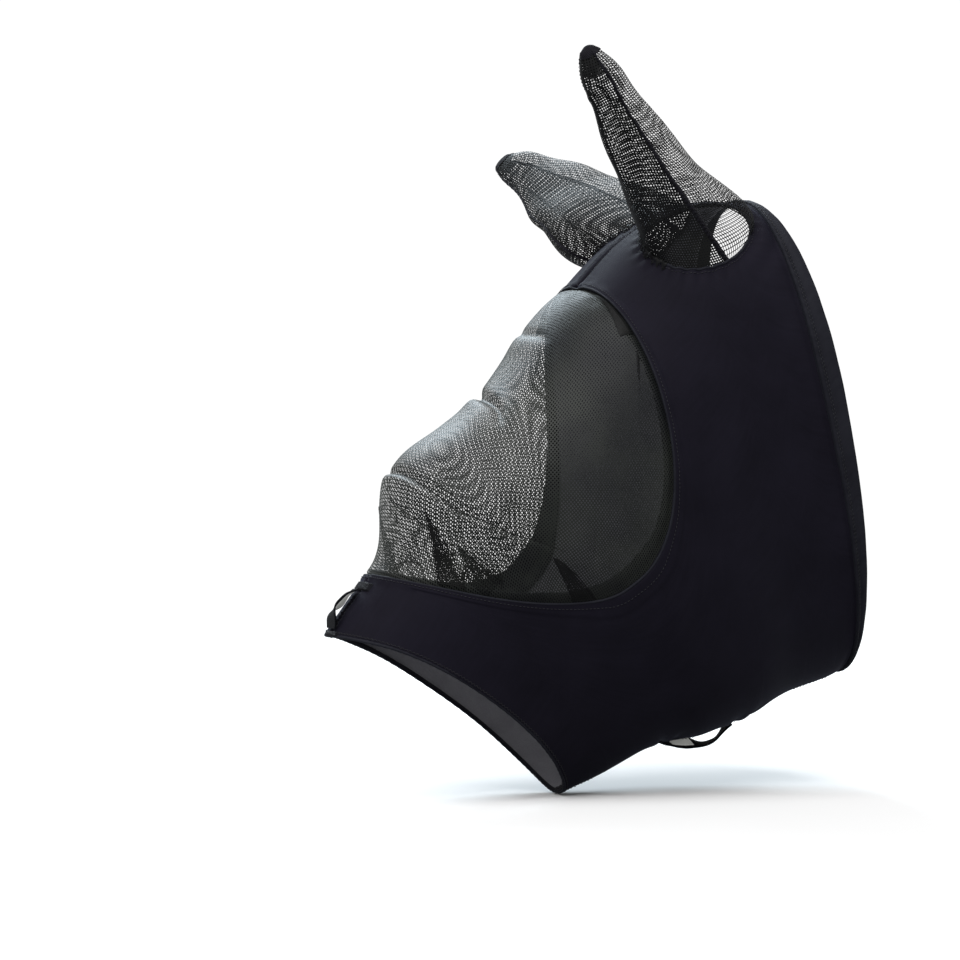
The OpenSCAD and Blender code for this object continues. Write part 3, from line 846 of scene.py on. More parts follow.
def nose_edge():
    """The rolled edge of the nose opening, the elastic band inside it, and its zigzag."""
    angles = np.linspace(-180, 180, 361)[:-1]
    s = 0.02 + 0.006 * np.sin(np.radians(angles * 9))
    off = 0.5 + 0.25 * wave_noise(31, angles * 1.5, 0 * angles, 30, 2)
    path = hood_point(s, angles, off)
    normals = numeric_normals(hood_point, s, angles, off)
    ripple = 1 + 0.10 * np.sin(np.radians(angles) * 96)
    on_hood(cord("nose_edge_roll", path, normals, HEM, 1.2 * MM, 1.05 * MM, ripple))
    rows = angles[:, None]
    band = np.linspace(0.03, 0.13, 7)[None]
    lift = -1.2 - 0.3 * np.cos((band - 0.08) / 0.05 * math.pi)
    lift = lift + 0.2 * wave_noise(33, rows * 1.5, band * 60, 20, 2)
    binding = sheet("nose_edge_binding", hood_point(band, rows, lift), TAPE, 0.6 * MM, wrap_rows=True)
    on_hood(binding, "nose_edge_binding")
    path, normals = hood_row(np.full_like(angles, 0.115), angles, 0.02)
    row = zigzag_row(path, normals, NOSE_ZIGZAG)
    sewn("nose_edge_stitching", [row], THREAD, "nose_edge_stitching")


# ---- neck hem ----

HEM_PROFILE = (
    # share of the hem's width, height over the head form in mm
    (0.00, 0.3),
    (0.00, 1.9),
    (0.03, 2.9),
    (0.10, 3.15),
    (0.20, 2.75),
    (0.30, 2.35),
    (0.38, 2.50),
    (0.46, 2.95),
    (0.56, 3.25),
    (0.70, 3.20),
    (0.82, 2.95),
    (0.92, 2.85),
    (0.98, 2.6),
    (1.02, 1.9),
    (1.02, 0.9),
    (0.96, 0.3),
    (0.80, 0.2),
    (0.50, 0.1),
    (0.20, 0.1),
)

HEM_STITCH_ROWS = (0.17, 0.25)  # shares of the hem's width
HEM_STITCH = (3.0, 2.1, 0.26)


def neck_hem():
    """The doubled band round the neck opening: a folded edge, a crease, and a rolled rim."""
    angles = np.linspace(-180, 180, 481)[:-1]
    profile = np.array(HEM_PROFILE)
    share = profile[:, 0][None]
    a = angles[:, None]
    start = hem_start(a) + 0.010 * wave_noise(41, a * 1.7, 0 * a, 60, 2)
    s = start + (7.0 - start) * share
    outer = (profile[:, 1] > 1.5)[None]
    drag = 0.30 * wave_noise(42, a * 1.7 + share * 22, share * 12, 26, 3)
    pucker = 0.25 * bump(share - 0.12, 0.12) * np.sin(np.radians(a) * 118)
    behind_ear = bump(np.abs(a) - 26, 9) * bump(share - 0.45, 0.22)
    off = profile[:, 1][None] + outer * (drag + pucker - 1.2 * behind_ear)
    points = hood_point(s, a, off)
    obj = sheet("neck_hem_band", np.concatenate([points, points[:, :1]], 1), HEM, wrap_rows=True, flip=True)
    on_hood(obj, "neck_hem_band")
    parts = []
    for share_at in HEM_STITCH_ROWS:
        row = hem_start(angles) + (7.0 - hem_start(angles)) * share_at
        height = np.interp(share_at, profile[3:12, 0], profile[3:12, 1])
        path = hood_point(row, angles, height + 0.1)
        normals = numeric_normals(hood_point, row, angles, 0 * angles)
        parts.append(stitch_row(path, normals, HEM_STITCH))
    sewn("neck_hem_stitching", parts, THREAD, "neck_hem_stitching")


# ---- nets ----


NET_WEAVE = 0.12  # how far a strand rises and sinks at a crossing, mm


def net_mesh(points, valid, half_width, normals):
    """Real strands along the rows and columns of a grid of points, as flat ribbons that cross and weave.

    half_width is half a strand's width in metres, a number or an array like the grid."""
    rows, cols = valid.shape
    along = unit(np.gradient(points, axis=0))
    across = unit(np.gradient(points, axis=1))
    width = np.broadcast_to(np.asarray(half_width, float), (rows, cols))[..., None]
    corner = [
        points - along * width - across * width,
        points + along * width - across * width,
        points + along * width + across * width,
        points - along * width + across * width,
    ]
    jitter = normals * (NET_WEAVE * MM)
    corner[0] = corner[0] + jitter
    corner[2] = corner[2] - jitter
    index = np.arange(rows * cols).reshape(rows, cols) * 4
    cross = np.stack([index, index + 1, index + 2, index + 3], -1)[valid]
    right_ok = valid[:, :-1] & valid[:, 1:]
    a, b = index[:, :-1], index[:, 1:]
    right = np.stack([a + 3, a + 2, b + 1, b + 0], -1)[right_ok]
    down_ok = valid[:-1] & valid[1:]
    a, b = index[:-1], index[1:]
    down = np.stack([a + 1, b + 0, b + 3, a + 2], -1)[down_ok]
    faces = np.concatenate([cross.reshape(-1, 4), right.reshape(-1, 4), down.reshape(-1, 4)])
    return compact(np.stack(corner, 2).reshape(-1, 3), faces)[:2]


NET_PITCH = 2.05  # distance between the eye net's strands, mm
NET_HALF = 0.44 * MM
NET_EDGE = 1.026  # the net ends here, between the hood and its binding

# Creases and folds in the eye net: a run of (station, angle) places, depth, width and ridge, in mm
CREASES = (
    (((1.80, -40), (1.84, -16), (1.82, -1), (1.78, 16), (1.75, 33), (1.88, 54), (2.13, 70)), 4.2, 4.0, 2.2),
    (((1.61, 2), (1.60, 12), (1.51, 27)), 1.8, 3.0, 0.9),
    (((3.05, -36), (2.90, -18), (2.78, 0), (2.70, 12), (2.50, 26)), 5.5, 7.0, 1.5),
    (((2.35, -52), (2.22, -30), (2.16, -14)), 2.4, 6.0, 1.4),
    (((3.62, -30), (3.45, -6), (3.40, 14)), 1.6, 6.0, 1.0),
    (((2.62, 70), (2.35, 78), (2.13, 84)), 1.4, 4.5, 0.8),
)


PLACE_MM = np.array([62.0, 1.62])  # rough length of one station and one degree on the screen, mm


def crease_height(s, angle, run, depth, width, ridge):
    """A valley along a run of places, with a ridge on its nose side, fading out at both ends."""
    run = np.array(run, float)
    best = np.full(s.shape, 1e9)
    height = np.zeros(s.shape)
    total = len(run) - 1
    for k in range(total):
        p, q = run[k] * PLACE_MM, run[k + 1] * PLACE_MM
        way = q - p
        px = s * PLACE_MM[0] - p[0]
        py = angle * PLACE_MM[1] - p[1]
        t = clamp01((px * way[0] + py * way[1]) / (way @ way))
        dx = px - t * way[0]
        dy = py - t * way[1]
        far = np.hypot(dx, dy)
        sign = np.sign(dx * way[1] - dy * way[0])
        place = (k + t) / total
        fade = smooth(place * 4) * smooth((1 - place) * 3.2)
        here = fade * (-depth * bump(far, width * 0.42) + ridge * bump(far * sign + width, width))
        height = np.where(far < best, here, height)
        best = np.minimum(best, far)
    return height


def net_lift(s, angle):
    """Height of the eye net over the head form, mm: the dome, its creases, and the flat sewn edge."""
    scale = screen_scale(s, angle)
    free = smooth((0.985 - scale) / 0.16)
    settle = smooth((s - 1.12) / 0.62) * (1 - 0.40 * smooth((s - 2.45) / 0.5))
    lift = 0.7 + dome(s, angle) * settle
    for run, depth, width, ridge in CREASES:
        lift = lift + free * crease_height(s, angle, run, depth, width, ridge)
    lift = lift + 0.9 * free * wave_noise(51, s * 60, angle * 1.6, 95, 3)
    edge = smooth((1.0 - scale) / 0.03)
    around = np.arctan2(angle / SCREEN_REACH, s - SCREEN_MIDDLE)
    gather = 0.5 * np.sin(around * 58 + 3 * np.sin(around * 7)) * bump((scale - 0.93) * 100, 5)
    return np.where(scale > 0.97, -0.6 + (lift + 0.6) * edge, lift) + gather * free


def net_point(s, angle, off=0.0):
    """Point of the eye net, off mm outside it."""
    return hood_point(s, angle, net_lift(s, angle) + off)


def even_stations(from_s, to_s, angle, pitch):
    """Stations spaced evenly along the head at one angle."""
    s = np.linspace(from_s, to_s, 900)
    run = arc_lengths(hood_point(s, angle, 1.0 + dome(s, np.full_like(s, angle))), 0)
    count = int(run[-1] / (pitch * MM))
    return np.interp(np.linspace(0, run[-1], count), run, s)


def one_more(inside):
    """Marks one more place beyond each end of the marked run in every row."""
    more = inside.copy()
    more[:, 1:] |= inside[:, :-1]
    more[:, :-1] |= inside[:, 1:]
    return more


def eye_net():
    """The see-through screen, as real strands that run along the face line and across it."""
    reach = SCREEN_HALF * NET_EDGE
    s_rows = even_stations(SCREEN_MIDDLE - reach, SCREEN_MIDDLE + reach, 52, NET_PITCH)
    half_angle = np.nan_to_num(screen_angle(s_rows, NET_EDGE))
    fine = np.linspace(0, 96, 480)[None]
    base = hood_point(s_rows[:, None], fine, 0.7 + dome(s_rows[:, None], fine))
    run = arc_lengths(base, 1)
    half_run = np.array([np.interp(a, fine[0], r) for a, r in zip(half_angle, run)])
    count = int(half_run.max() / (NET_PITCH * MM)) + 1
    wanted = np.arange(-count, count + 1) * NET_PITCH * MM
    inside = np.abs(wanted)[None] <= half_run[:, None]
    clipped = np.clip(wanted[None], -half_run[:, None], half_run[:, None])
    angles = np.stack([np.sign(c) * np.interp(np.abs(c), r, fine[0]) for c, r in zip(clipped, run)])
    sway = 0.35 * wave_noise(61, s_rows[:, None] * 60, angles * 1.6, 70, 2)
    stations = s_rows[:, None] + sway / 62 * inside
    points = net_point(stations, angles)
    normals = numeric_normals(net_point, stations, angles, 0.0)
    width = NET_HALF * (1 + 0.16 * wave_noise(62, stations * 60, angles * 1.6, 30, 3))
    obj = new_mesh("eye_screen_net", *net_mesh(points, one_more(inside), width, normals), EYE_NET)
    on_hood(obj, "eye_screen")


def net_patch(corner_places, lift, pitch=1.5, half=0.24):
    """A doubled piece of net over the screen: a grid between four (station, angle) corners."""
    c = np.array(corner_places, float)
    steps_u = max(int(np.linalg.norm((c[1] - c[0]) * PLACE_MM) / pitch), 2)
    steps_v = max(int(np.linalg.norm((c[3] - c[0]) * PLACE_MM) / pitch), 2)
    u = np.linspace(0, 1, steps_u + 1)[:, None, None]
    v = np.linspace(0, 1, steps_v + 1)[None, :, None]
    place = (1 - u) * (1 - v) * c[0] + u * (1 - v) * c[1] + u * v * c[2] + (1 - u) * v * c[3]
    s, a = place[..., 0], place[..., 1]
    rise = lift * np.sin(np.pi * v[..., 0]) ** 0.5 * (1 - 0.6 * np.abs(u[..., 0]))
    points = net_point(s, a, 0.5 + rise)
    normals = numeric_normals(net_point, s, a, 0.0)
    return net_mesh(points, np.ones(s.shape, bool), half * MM, normals)


FOLD_POINTS = 60


def fold_line(places, lift):
    """Points and normals along a folded edge on the net."""
    p = np.array(places, float)
    t = np.linspace(0, len(p) - 1, FOLD_POINTS)
    s = np.interp(t, np.arange(len(p)), p[:, 0])
    a = np.interp(t, np.arange(len(p)), p[:, 1])
    return net_point(s, a, lift), numeric_normals(net_point, s, a, 0.0)


# Doubled places in the net. Darts are four corners: two along the opening's edge and a narrow point
DARTS = (
    ((1.30, 53.0), (1.60, 24.0), (1.62, 21.5), (1.205, 42.0)),
    ((2.09, 87.5), (2.03, 70.5), (2.00, 69.0), (1.875, 84.0)),
    ((3.66, 54.0), (3.87, 46.0), (3.89, 44.0), (3.74, 51.0)),
    ((4.00, 14.0), (3.93, 26.0), (3.84, 36.0), (3.97, 38.0)),
)
TAB_CORNERS = ((1.36, 47.5), (1.56, 47.5), (1.56, 61.5), (1.36, 61.5))


# Folded edges that show as fine dark lines in the net, and their height over it in mm; along the first two
# runs, the creases, the dark line is painted shade as well as the fold
FOLD_EDGES_AND_CREASE_SHADE = (
    # the two crease runs: dark tubes that paint the shade in each crease
    (CREASES[0][0], 0.1),
    (CREASES[1][0], 0.2),
    (((1.62, 21.5), (1.46, 33.0), (1.215, 42.0)), 1.2),
    (((1.60, 24.0), (1.47, 40.0), (1.30, 53.0)), 1.2),
    (((2.00, 69.0), (1.96, 77.0), (1.875, 84.0)), 1.2),
    (((2.03, 70.5), (2.08, 79.0), (2.09, 87.5)), 1.0),
    (((3.89, 44.0), (3.80, 48.0), (3.74, 51.0)), 1.0),
)
TAB_RIM = ((1.33, 50.0), (1.405, 48.6), (1.49, 53.0), (1.56, 58.6), (1.545, 62.0), (1.49, 63.4))


def both_sides(points, faces):
    """A part and its mirror image."""
    return [(points, faces), (points * np.array([1, -1, 1]), faces[:, ::-1])]


def fold_tube(places, lift, wide, high, taper):
    """A thin oval tube along a folded edge, on both sides of the screen. Sizes in mm."""
    path, normals = fold_line(places, lift)
    points = oval_tube(path, normals, False, 6, wide * MM * taper, high * MM * taper)
    return both_sides(points.reshape(-1, 3), grid_faces(len(path), 6, False, True))


def darts():
    """Pinched darts in the net, each of two layers."""
    parts = []
    for dart in DARTS:
        for layer, shift in ((0.9, 0.0), (1.5, 0.35)):
            moved = [(s + shift * 0.012, a + shift) for s, a in dart]
            parts += both_sides(*net_patch(moved, layer))
    sewn("eye_net_darts", parts, DOUBLED_NET)


def corner_tabs():
    """Small doubled tabs with a rounded end and a dark turned edge, at the screen's lower front corners."""
    parts = both_sides(*net_patch(TAB_CORNERS, 1.2, 1.9, 0.22))
    parts += fold_tube(TAB_RIM, 2.0, 0.55, 0.33, 1)
    sewn("screen_corner_tabs", parts, DOUBLED_NET, "screen_corner_tabs")


def fold_edges_and_crease_shade():
    """The sharp folded edges in the net show as fine dark lines; along the two creases the line is also
    painted shade.
    """
    taper = 0.25 + 0.75 * np.sin(np.pi * np.linspace(0, 1, FOLD_POINTS)) ** 0.5
    parts = []
    for places, lift in FOLD_EDGES_AND_CREASE_SHADE:
        parts += fold_tube(places, lift, 0.45, 0.225, taper)
    sewn("eye_net_folds_and_crease_shade", parts, DOUBLED_NET)


EDGE_STITCH = (2.9, 2.0, 0.24)
BINDING = np.linspace(0.958, 1.040, 16)  # sizes of the outline across the binding


def screen_edge():
    """Binding under the net's edge, the stitches through it, and the hood's rolled edge over it."""
    f = np.linspace(0, 360, 721)[:-1][:, None]
    width = BINDING[None]
    wobble = 0.004 * wave_noise(71, f * 2.2, 0 * f, 40, 3)
    s, a = outline(width + wobble * (width < 0.98), f)
    off = -1.3 + 0.22 * wave_noise(72, f * 2.2, width * 100, 22, 2)
    off = off + 0.55 * bump((width - BINDING[0]) * 100, 0.8)
    # its outer half lies close under the hood's cloth
    off = off + (relief_at(s, a) + 0.9) * smooth((width - 0.998) / 0.014)
    obj = sheet("eye_screen_binding", hood_point(s, a, off), TAPE, 0.7 * MM, wrap_rows=True, flip=True)
    on_hood(obj, "eye_screen_binding")
    flat = f[:, 0]
    path, normals = hood_row(*outline(HOOD_EDGE + 0.020, flat), 0.02)
    row = stitch_row(path, normals, EDGE_STITCH)
    sewn("eye_screen_stitching", [row], THREAD, "eye_screen_stitching")
    path, normals = hood_row(*outline(HOOD_EDGE - 0.001, flat), -0.9)
    ripple = 1 + 0.12 * wave_noise(73, flat * 2.2, 0 * flat, 12, 2)
    on_hood(cord("eye_opening_roll", path, normals, HEM, 0.9 * MM, 1.0 * MM, ripple))


# ---- ears ----

EAR_TIPS = {-1: (-45, -72, 553), 1: (-1, 186, 480)}
EAR_BENDS = {-1: (4, -66, 478), 1: (20, 98, 452)}
EAR_WIDTHS = {-1: 45, 1: 52}
EAR_WIDTH_AXES = {-1: (0.82, 0.05, 0.45), 1: (0.72, -0.20, 0.62)}
EAR_DEPTH_AXES = {-1: (-0.1, -1, -0.25), 1: (-0.3, 0.25, -0.9)}
EAR_HALF_DEPTH = 28
EAR_TIP_SIZE = (4, 3)
EAR_TAPER = 0.9
EAR_WALL_TOP = 0.972
EAR_CAP = 0.962
EAR_FOLD_OVER = {-1: 0.885, 1: 0.93}
EAR_NET_PITCH = 2.05
EAR_STITCH = (2.8, 1.9, 0.20)
EAR_HALF = {"front": 0.60 * MM, "back": 0.38 * MM}  # half a strand's width
EAR_MATERIALS = {"front": DOUBLED_NET, "back": EAR_NET}
EAR_BODIES = {-1: "left_ear_cover", 1: "right_ear_cover"}
EAR_NAMES = {-1: "left", 1: "right"}

# Soft swellings and hollows of each cover: height in mm, middle and reach round it in degrees,
# and middle and reach along it as shares of its length
EAR_SWELLS = {
    -1: ((6.5, 0, 40, 0.60, 0.24), (11.0, 165, 42, 0.17, 0.10)),
    1: (
        (4.5, 222, 48, 0.66, 0.20),
        (11.0, 15, 42, 0.16, 0.12),
        (4.5, 15, 42, 0.42, 0.22),
        (5.0, 165, 40, 0.2, 0.12),
    ),
}
EAR_HOLLOWS = {
    -1: ((-7.0, 52, 20, 0.52, 0.26), (-3.0, 75, 9, 0.28, 0.16), (2.4, 24, 14, 0.55, 0.3)),
    1: ((-8.0, 62, 20, 0.50, 0.30), (3.0, 88, 12, 0.62, 0.25), (-3.5, 34, 11, 0.5, 0.25)),
}


def mix(a, b, t):
    return a + (b - a) * t


def ear_axis(start, end, h):
    """Direction of a cover's section at height h, between those at its root and its tip."""
    return unit(mix(unit(np.array(start, float)), unit(np.array(end, float)), h))


def turn_gap(t, centre):
    """Signed angle from the centre, between -180 and 180."""
    return (t - centre + 180) % 360 - 180


def ear_fullness(side, h, t):
    """Where a cover stands out past its plain taper, mm: near the tip, and over the cloth at its root."""
    full = 4.6 * bump(h - 0.87, 0.10) * smooth((1 - h) / 0.03)
    if side > 0:
        full = full * (0.2 + 0.3 * bump(turn_gap(t, 225), 75))
    for height, middle, reach, at, along in EAR_SWELLS[side]:
        full = full + height * bump(turn_gap(t, middle), reach) * bump(h - at, along)
    return full


def ear_folds(side, h, t):
    """Soft hollows and creases in an ear cover, mm outward."""
    turn = np.radians(t)
    height = 1.8 * wave_noise(81 + side, h * 150, np.cos(turn) * 40 + np.sin(turn) * 23, 90, 2)
    for size, middle, reach, at, along in EAR_HOLLOWS[side]:
        height = height + size * bump(t - middle, reach) * bump(h - at, along)
    if side < 0:
        # a slanting fold below the near cover's tip
        height = height + 2.2 * bump(h - 0.86 - 0.0012 * (t - 60), 0.022) * bump(t - 50, 50)
    height = height - 2.6 * bump(t - 196, 26) * bump(h - 0.42, 0.25)
    return height * smooth(h / 0.16) * smooth((1 - h) / 0.12)


def root_middle(side, off):
    """The middle of an ear's root, off mm over the head form."""
    return on_side(side, hood_point(EAR_STATION, EAR_ANGLE, off))


def ear_point(side, h, t, off=0.0):
    """Point of an ear cover at height h (0 root, 1 tip) and angle t around it (0 front, 90 outer face)."""
    h, t, off = np.broadcast_arrays(np.asarray(h, float), t, off)
    a = np.radians(t)
    s = EAR_STATION - (EAR_ROOT[0] + off / 57) * np.cos(a)
    angle = EAR_ANGLE + (EAR_ROOT[1] + off / 2) * np.sin(a)
    root = on_side(side, hood_point(s, angle, FABRIC - 0.4))
    hh = np.clip(h, 0, None)[..., None]
    bend = np.array(EAR_BENDS[side]) * MM + SHIFT
    tip = np.array(EAR_TIPS[side]) * MM + SHIFT
    centre = (1 - hh) ** 2 * root_middle(side, 0.0) + 2 * hh * (1 - hh) * bend + hh * hh * tip
    taper = np.clip(1 - hh[..., 0], 0, 1) ** EAR_TAPER
    swell = off + ear_folds(side, h, t % 360)
    wide = mix(EAR_TIP_SIZE[0], EAR_WIDTHS[side], taper) + swell
    deep = mix(EAR_TIP_SIZE[1], EAR_HALF_DEPTH, taper) + swell
    width_axis = ear_axis((1, 0, 0.12), EAR_WIDTH_AXES[side], hh)
    depth_axis = ear_axis((0, 0.8 * side, -0.55), EAR_DEPTH_AXES[side], hh)
    around = depth_axis * np.sin(a)[..., None] - width_axis * np.cos(a)[..., None]
    shell = centre - width_axis * (wide * np.cos(a) * MM)[..., None]
    shell = shell + depth_axis * (deep * np.sin(a) * MM)[..., None]
    full = ear_fullness(side, h, t) * smooth(h / 0.05) * MM
    return mix(root, shell, smooth(hh / 0.3)) + around * full[..., None]


def ear_normals(side, h, t):
    """Outward normals of an ear cover."""
    dh = ear_point(side, h + 0.004, t) - ear_point(side, h - 0.004, t)
    dt = ear_point(side, h, t + 0.5) - ear_point(side, h, t - 0.5)
    n = unit(np.cross(dt, dh))
    out = ear_point(side, h, t, 1.0) - ear_point(side, h, t)
    return n * np.sign(np.sum(n * out, -1, keepdims=True) + 1e-12)


def ear_blend(obj, side):
    """Bakes the piece's place into its points."""
    start = root_middle(side, 2.0)
    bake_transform(obj)


def ear_net(side, face, shift, depth, from_h=0.0):
    """One layer of net: strands along a panel and across it, ending under the seam tapes."""
    outer, inner = EAR_SEAMS[side]
    from_t, to_t = (inner - 360, outer) if face == "front" else (outer, inner)
    middle = (from_t + to_t) / 2
    fine_h = np.linspace(0, EAR_WALL_TOP, 500)
    run_h = arc_lengths(ear_point(side, fine_h, np.full_like(fine_h, middle)), 0)
    rows = int(run_h[-1] / (EAR_NET_PITCH * MM))
    at = np.linspace(0, run_h[-1], rows)
    at[1:-1] += shift * EAR_NET_PITCH * MM
    h = np.interp(at, run_h, fine_h)
    fine_t = np.linspace(from_t, to_t, 260)[None]
    run_t = arc_lengths(ear_point(side, h[:, None], fine_t), 1)
    mid_run = np.array([np.interp(middle, fine_t[0], r) for r in run_t])
    low, high = -mid_run, run_t[:, -1] - mid_run
    count = int(max(-low.min(), high.max()) / (EAR_NET_PITCH * MM)) + 1
    wanted = (np.arange(-count, count + 1) + shift) * EAR_NET_PITCH * MM
    inside = (wanted[None] >= low[:, None]) & (wanted[None] <= high[:, None])
    valid = one_more(inside)
    if from_h:
        slant = 0.0006 * wanted[None] / MM + 0.008 * np.sin(wanted[None] / MM * 0.45)
        valid &= h[:, None] + slant >= from_h
    clipped = np.clip(wanted[None], low[:, None], high[:, None]) + mid_run[:, None]
    t = np.stack([np.interp(c, r, fine_t[0]) for c, r in zip(clipped, run_t)])
    hh = np.broadcast_to(h[:, None], t.shape)
    points = ear_point(side, hh, t, -depth * smooth(hh / 0.1))
    normals = ear_normals(side, hh, t)
    width = EAR_HALF[face] * (1 + 0.14 * wave_noise(91, hh * 150, t * 0.6, 30, 3))
    return net_mesh(points, valid, width, normals)


def ear_panel(side, face):
    """A net panel of a cover. The front panel's net is closer, and is folded over double under the tip."""
    layers = [ear_net(side, face, 0.0, 0.0)]
    if face == "front":
        layers.append(ear_net(side, face, 0.45, 0.9, EAR_FOLD_OVER[side]))
    name = f"{EAR_NAMES[side]}_ear_{face}_panel"
    ear_blend(in_slot(new_mesh(name, *merge(layers), EAR_MATERIALS[face]), name), side)


def ear_seam_tapes(side):
    """Dark tape folded over both seams, from the root to the tip."""
    parts = []
    stitches = []
    h = np.linspace(0.0, EAR_WALL_TOP + 0.01, 150)
    size = mix(EAR_TIP_SIZE[0], EAR_WIDTHS[side], (1 - h) ** EAR_TAPER)
    per_mm = np.minimum(np.degrees(1 / np.maximum(size, 12)), 4.5)
    spread = np.linspace(-1, 1, 9)[None]
    wander = 0.8 * wave_noise(95, h * 150, 0 * h, 36, 2)
    narrow = (1 - 0.5 * smooth(h / 0.9))[:, None]
    crown = 0.9 * (1 - spread**2) + 0.3 * wave_noise(96, h[:, None] * 150, spread * 4, 12, 2)
    for seam, width in zip(EAR_SEAMS[side], (2.1, 1.4)):
        t = seam + (spread * width * narrow + wander[:, None]) * per_mm[:, None]
        hh = np.broadcast_to(h[:, None], t.shape)
        cloth = ear_point(side, hh, t)
        normals = ear_normals(side, hh, t)
        outer = cloth + normals * ((0.3 + crown * 0.8) * MM)[..., None]
        inner = cloth - normals * (0.5 * MM)
        loop = np.concatenate([outer, inner[:, ::-1], outer[:, :1]], 1)
        parts.append((loop.reshape(-1, 3), grid_faces(*loop.shape[:2])[:, ::-side]))
        middle = seam + wander * per_mm
        normals = ear_normals(side, h, middle)
        line = ear_point(side, h, middle) + normals * 1.12 * MM
        stitches.append(stitch_row(line[4:-3], normals[4:-3], EAR_STITCH, False))
    points, faces = merge(parts)
    name = f"{EAR_NAMES[side]}_ear_seam_tape"
    obj = new_mesh(name, points, faces, TAPE)
    add_uv(obj, points[:, [1, 2]])
    ear_blend(in_slot(obj, name), side)
    row = new_mesh(f"{EAR_NAMES[side]}_ear_seam_stitching", *merge(stitches), THREAD)
    ear_blend(in_slot(row), side)


def ear_tip_patch(side):
    """The cover's tip: net folded over itself into a small dark cap with a pinched, slanting top."""
    h = np.concatenate([np.linspace(EAR_CAP, 0.988, 10), np.linspace(0.991, 1.0, 5)])
    t = np.linspace(0, 360, 61)[:-1]
    hh, tt = np.meshgrid(h, t, indexing="ij")
    close = np.sqrt(np.clip((1.0 - hh) / 0.014, 0.0, 1))
    off = 0.6 + 0.4 * wave_noise(97 + side, hh * 150, tt * 0.2, 9, 2)
    off = off + 0.4 * np.sin(np.radians(tt) * 7) * smooth((0.98 - hh) / 0.015)
    ring = ear_point(side, hh, tt, off)
    centre = ring.mean(1, keepdims=True)
    ring = centre + (ring - centre) * (0.12 + 0.88 * close)[..., None]
    faces = grid_faces(len(h), len(t), False, True)
    top = (len(h) - 1) * len(t)
    cap = np.array([[top, top + k, top + k + 1, top + k + 2] for k in range(1, len(t) - 2, 2)])
    faces = np.concatenate([faces, cap[:, ::-1]])
    name = f"{EAR_NAMES[side]}_ear_tip_patch"
    obj = new_mesh(name, ring.reshape(-1, 3), faces[:, ::-side], TAPE)
    add_uv(obj, np.stack([tt.ravel() * 0.0002, hh.ravel() * 0.16], -1))
    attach(in_slot(obj, name), EAR_BODIES[side])


def ear_ring(side, reach, rise):
    """A ring round an ear's root, outside it by (stations, degrees) and rise mm over the hood."""
    a = np.radians(np.linspace(0, 360, 241)[:-1])
    s = EAR_STATION - (EAR_ROOT[0] + reach[0]) * np.cos(a)
    angle = EAR_ANGLE + (EAR_ROOT[1] + reach[1]) * np.sin(a)
    path = hood_point(s, angle, FABRIC + hood_relief(s, angle, -side) + rise)
    return on_side(side, path), on_side(side, numeric_normals(hood_point, s, angle, 0.0))


def ear_base(side):
    """Rolled seam round the ear's root, and its stitches."""
    t = np.linspace(0, 360, 241)[:-1]
    ripple = 1 + 0.25 * wave_noise(101 + side, t * 0.7, 0 * t, 14, 3)
    name = f"{EAR_NAMES[side]}_ear_base_binding"
    on_hood(cord(name, *ear_ring(side, EAR_HOLE, -0.5), HEM, 1.1 * MM, 0.95 * MM, ripple), name)
    row = stitch_row(*ear_ring(side, (0.055, 1.6), -0.05), EDGE_STITCH)
    sewn(f"{EAR_NAMES[side]}_ear_base_stitching", [row], THREAD)


LOOSE_STRANDS = 70


def ear_gathers(side):
    """Ragged, gathered net at the front of an ear's root, with loose strand ends."""
    rng = np.random.default_rng(111 + side)
    arc = np.linspace(-78, 26, 66)[None]
    run = np.linspace(0, 1, 9)[:, None]
    a = np.radians(arc)
    tatter = 0.55 + 0.45 * np.abs(np.sin(arc * 0.21 + side)) * (0.6 + 0.4 * np.sin(arc * 0.9))
    grow = run * tatter * 0.13
    s = EAR_STATION - (EAR_ROOT[0] - 0.01 + grow) * np.cos(a)
    angle = EAR_ANGLE + (EAR_ROOT[1] - 0.2 + grow * 22) * np.sin(a)
    frill = np.sin(arc * 0.62 + 2 * np.sin(arc * 0.11)) * (0.6 + 1.4 * run)
    relief = hood_relief(s, np.abs(angle), -side)
    off = FABRIC + relief + 1.1 + 1.1 * np.sin(np.pi * run) + frill * 0.75
    points = on_side(side, hood_point(s, angle, off))
    valid = rng.random(points.shape[:2]) > 0.25 * run**2
    normals = on_side(side, numeric_normals(hood_point, s, angle, 0.0))
    starts, ends, outs = [], [], []
    for _ in range(LOOSE_STRANDS):
        k = rng.integers(2, 64)
        r = rng.integers(5, 9)
        start = points[r, k]
        way = unit(start - points[r - 2, k]) + rng.normal(0, 0.5, 3)
        starts.append(start)
        ends.append(start + unit(way) * rng.uniform(1.5, 5.0) * MM)
        outs.append(normals[r, k])
    loose = thread_bars(np.array(starts), np.array(ends), np.array(outs), 0.14 * MM, 0.6 * MM)
    parts = [net_mesh(points, valid, 0.24 * MM, normals), loose]
    sewn(f"{EAR_NAMES[side]}_ear_base_gathers", parts, DOUBLED_NET)


# ---- pull loops ----

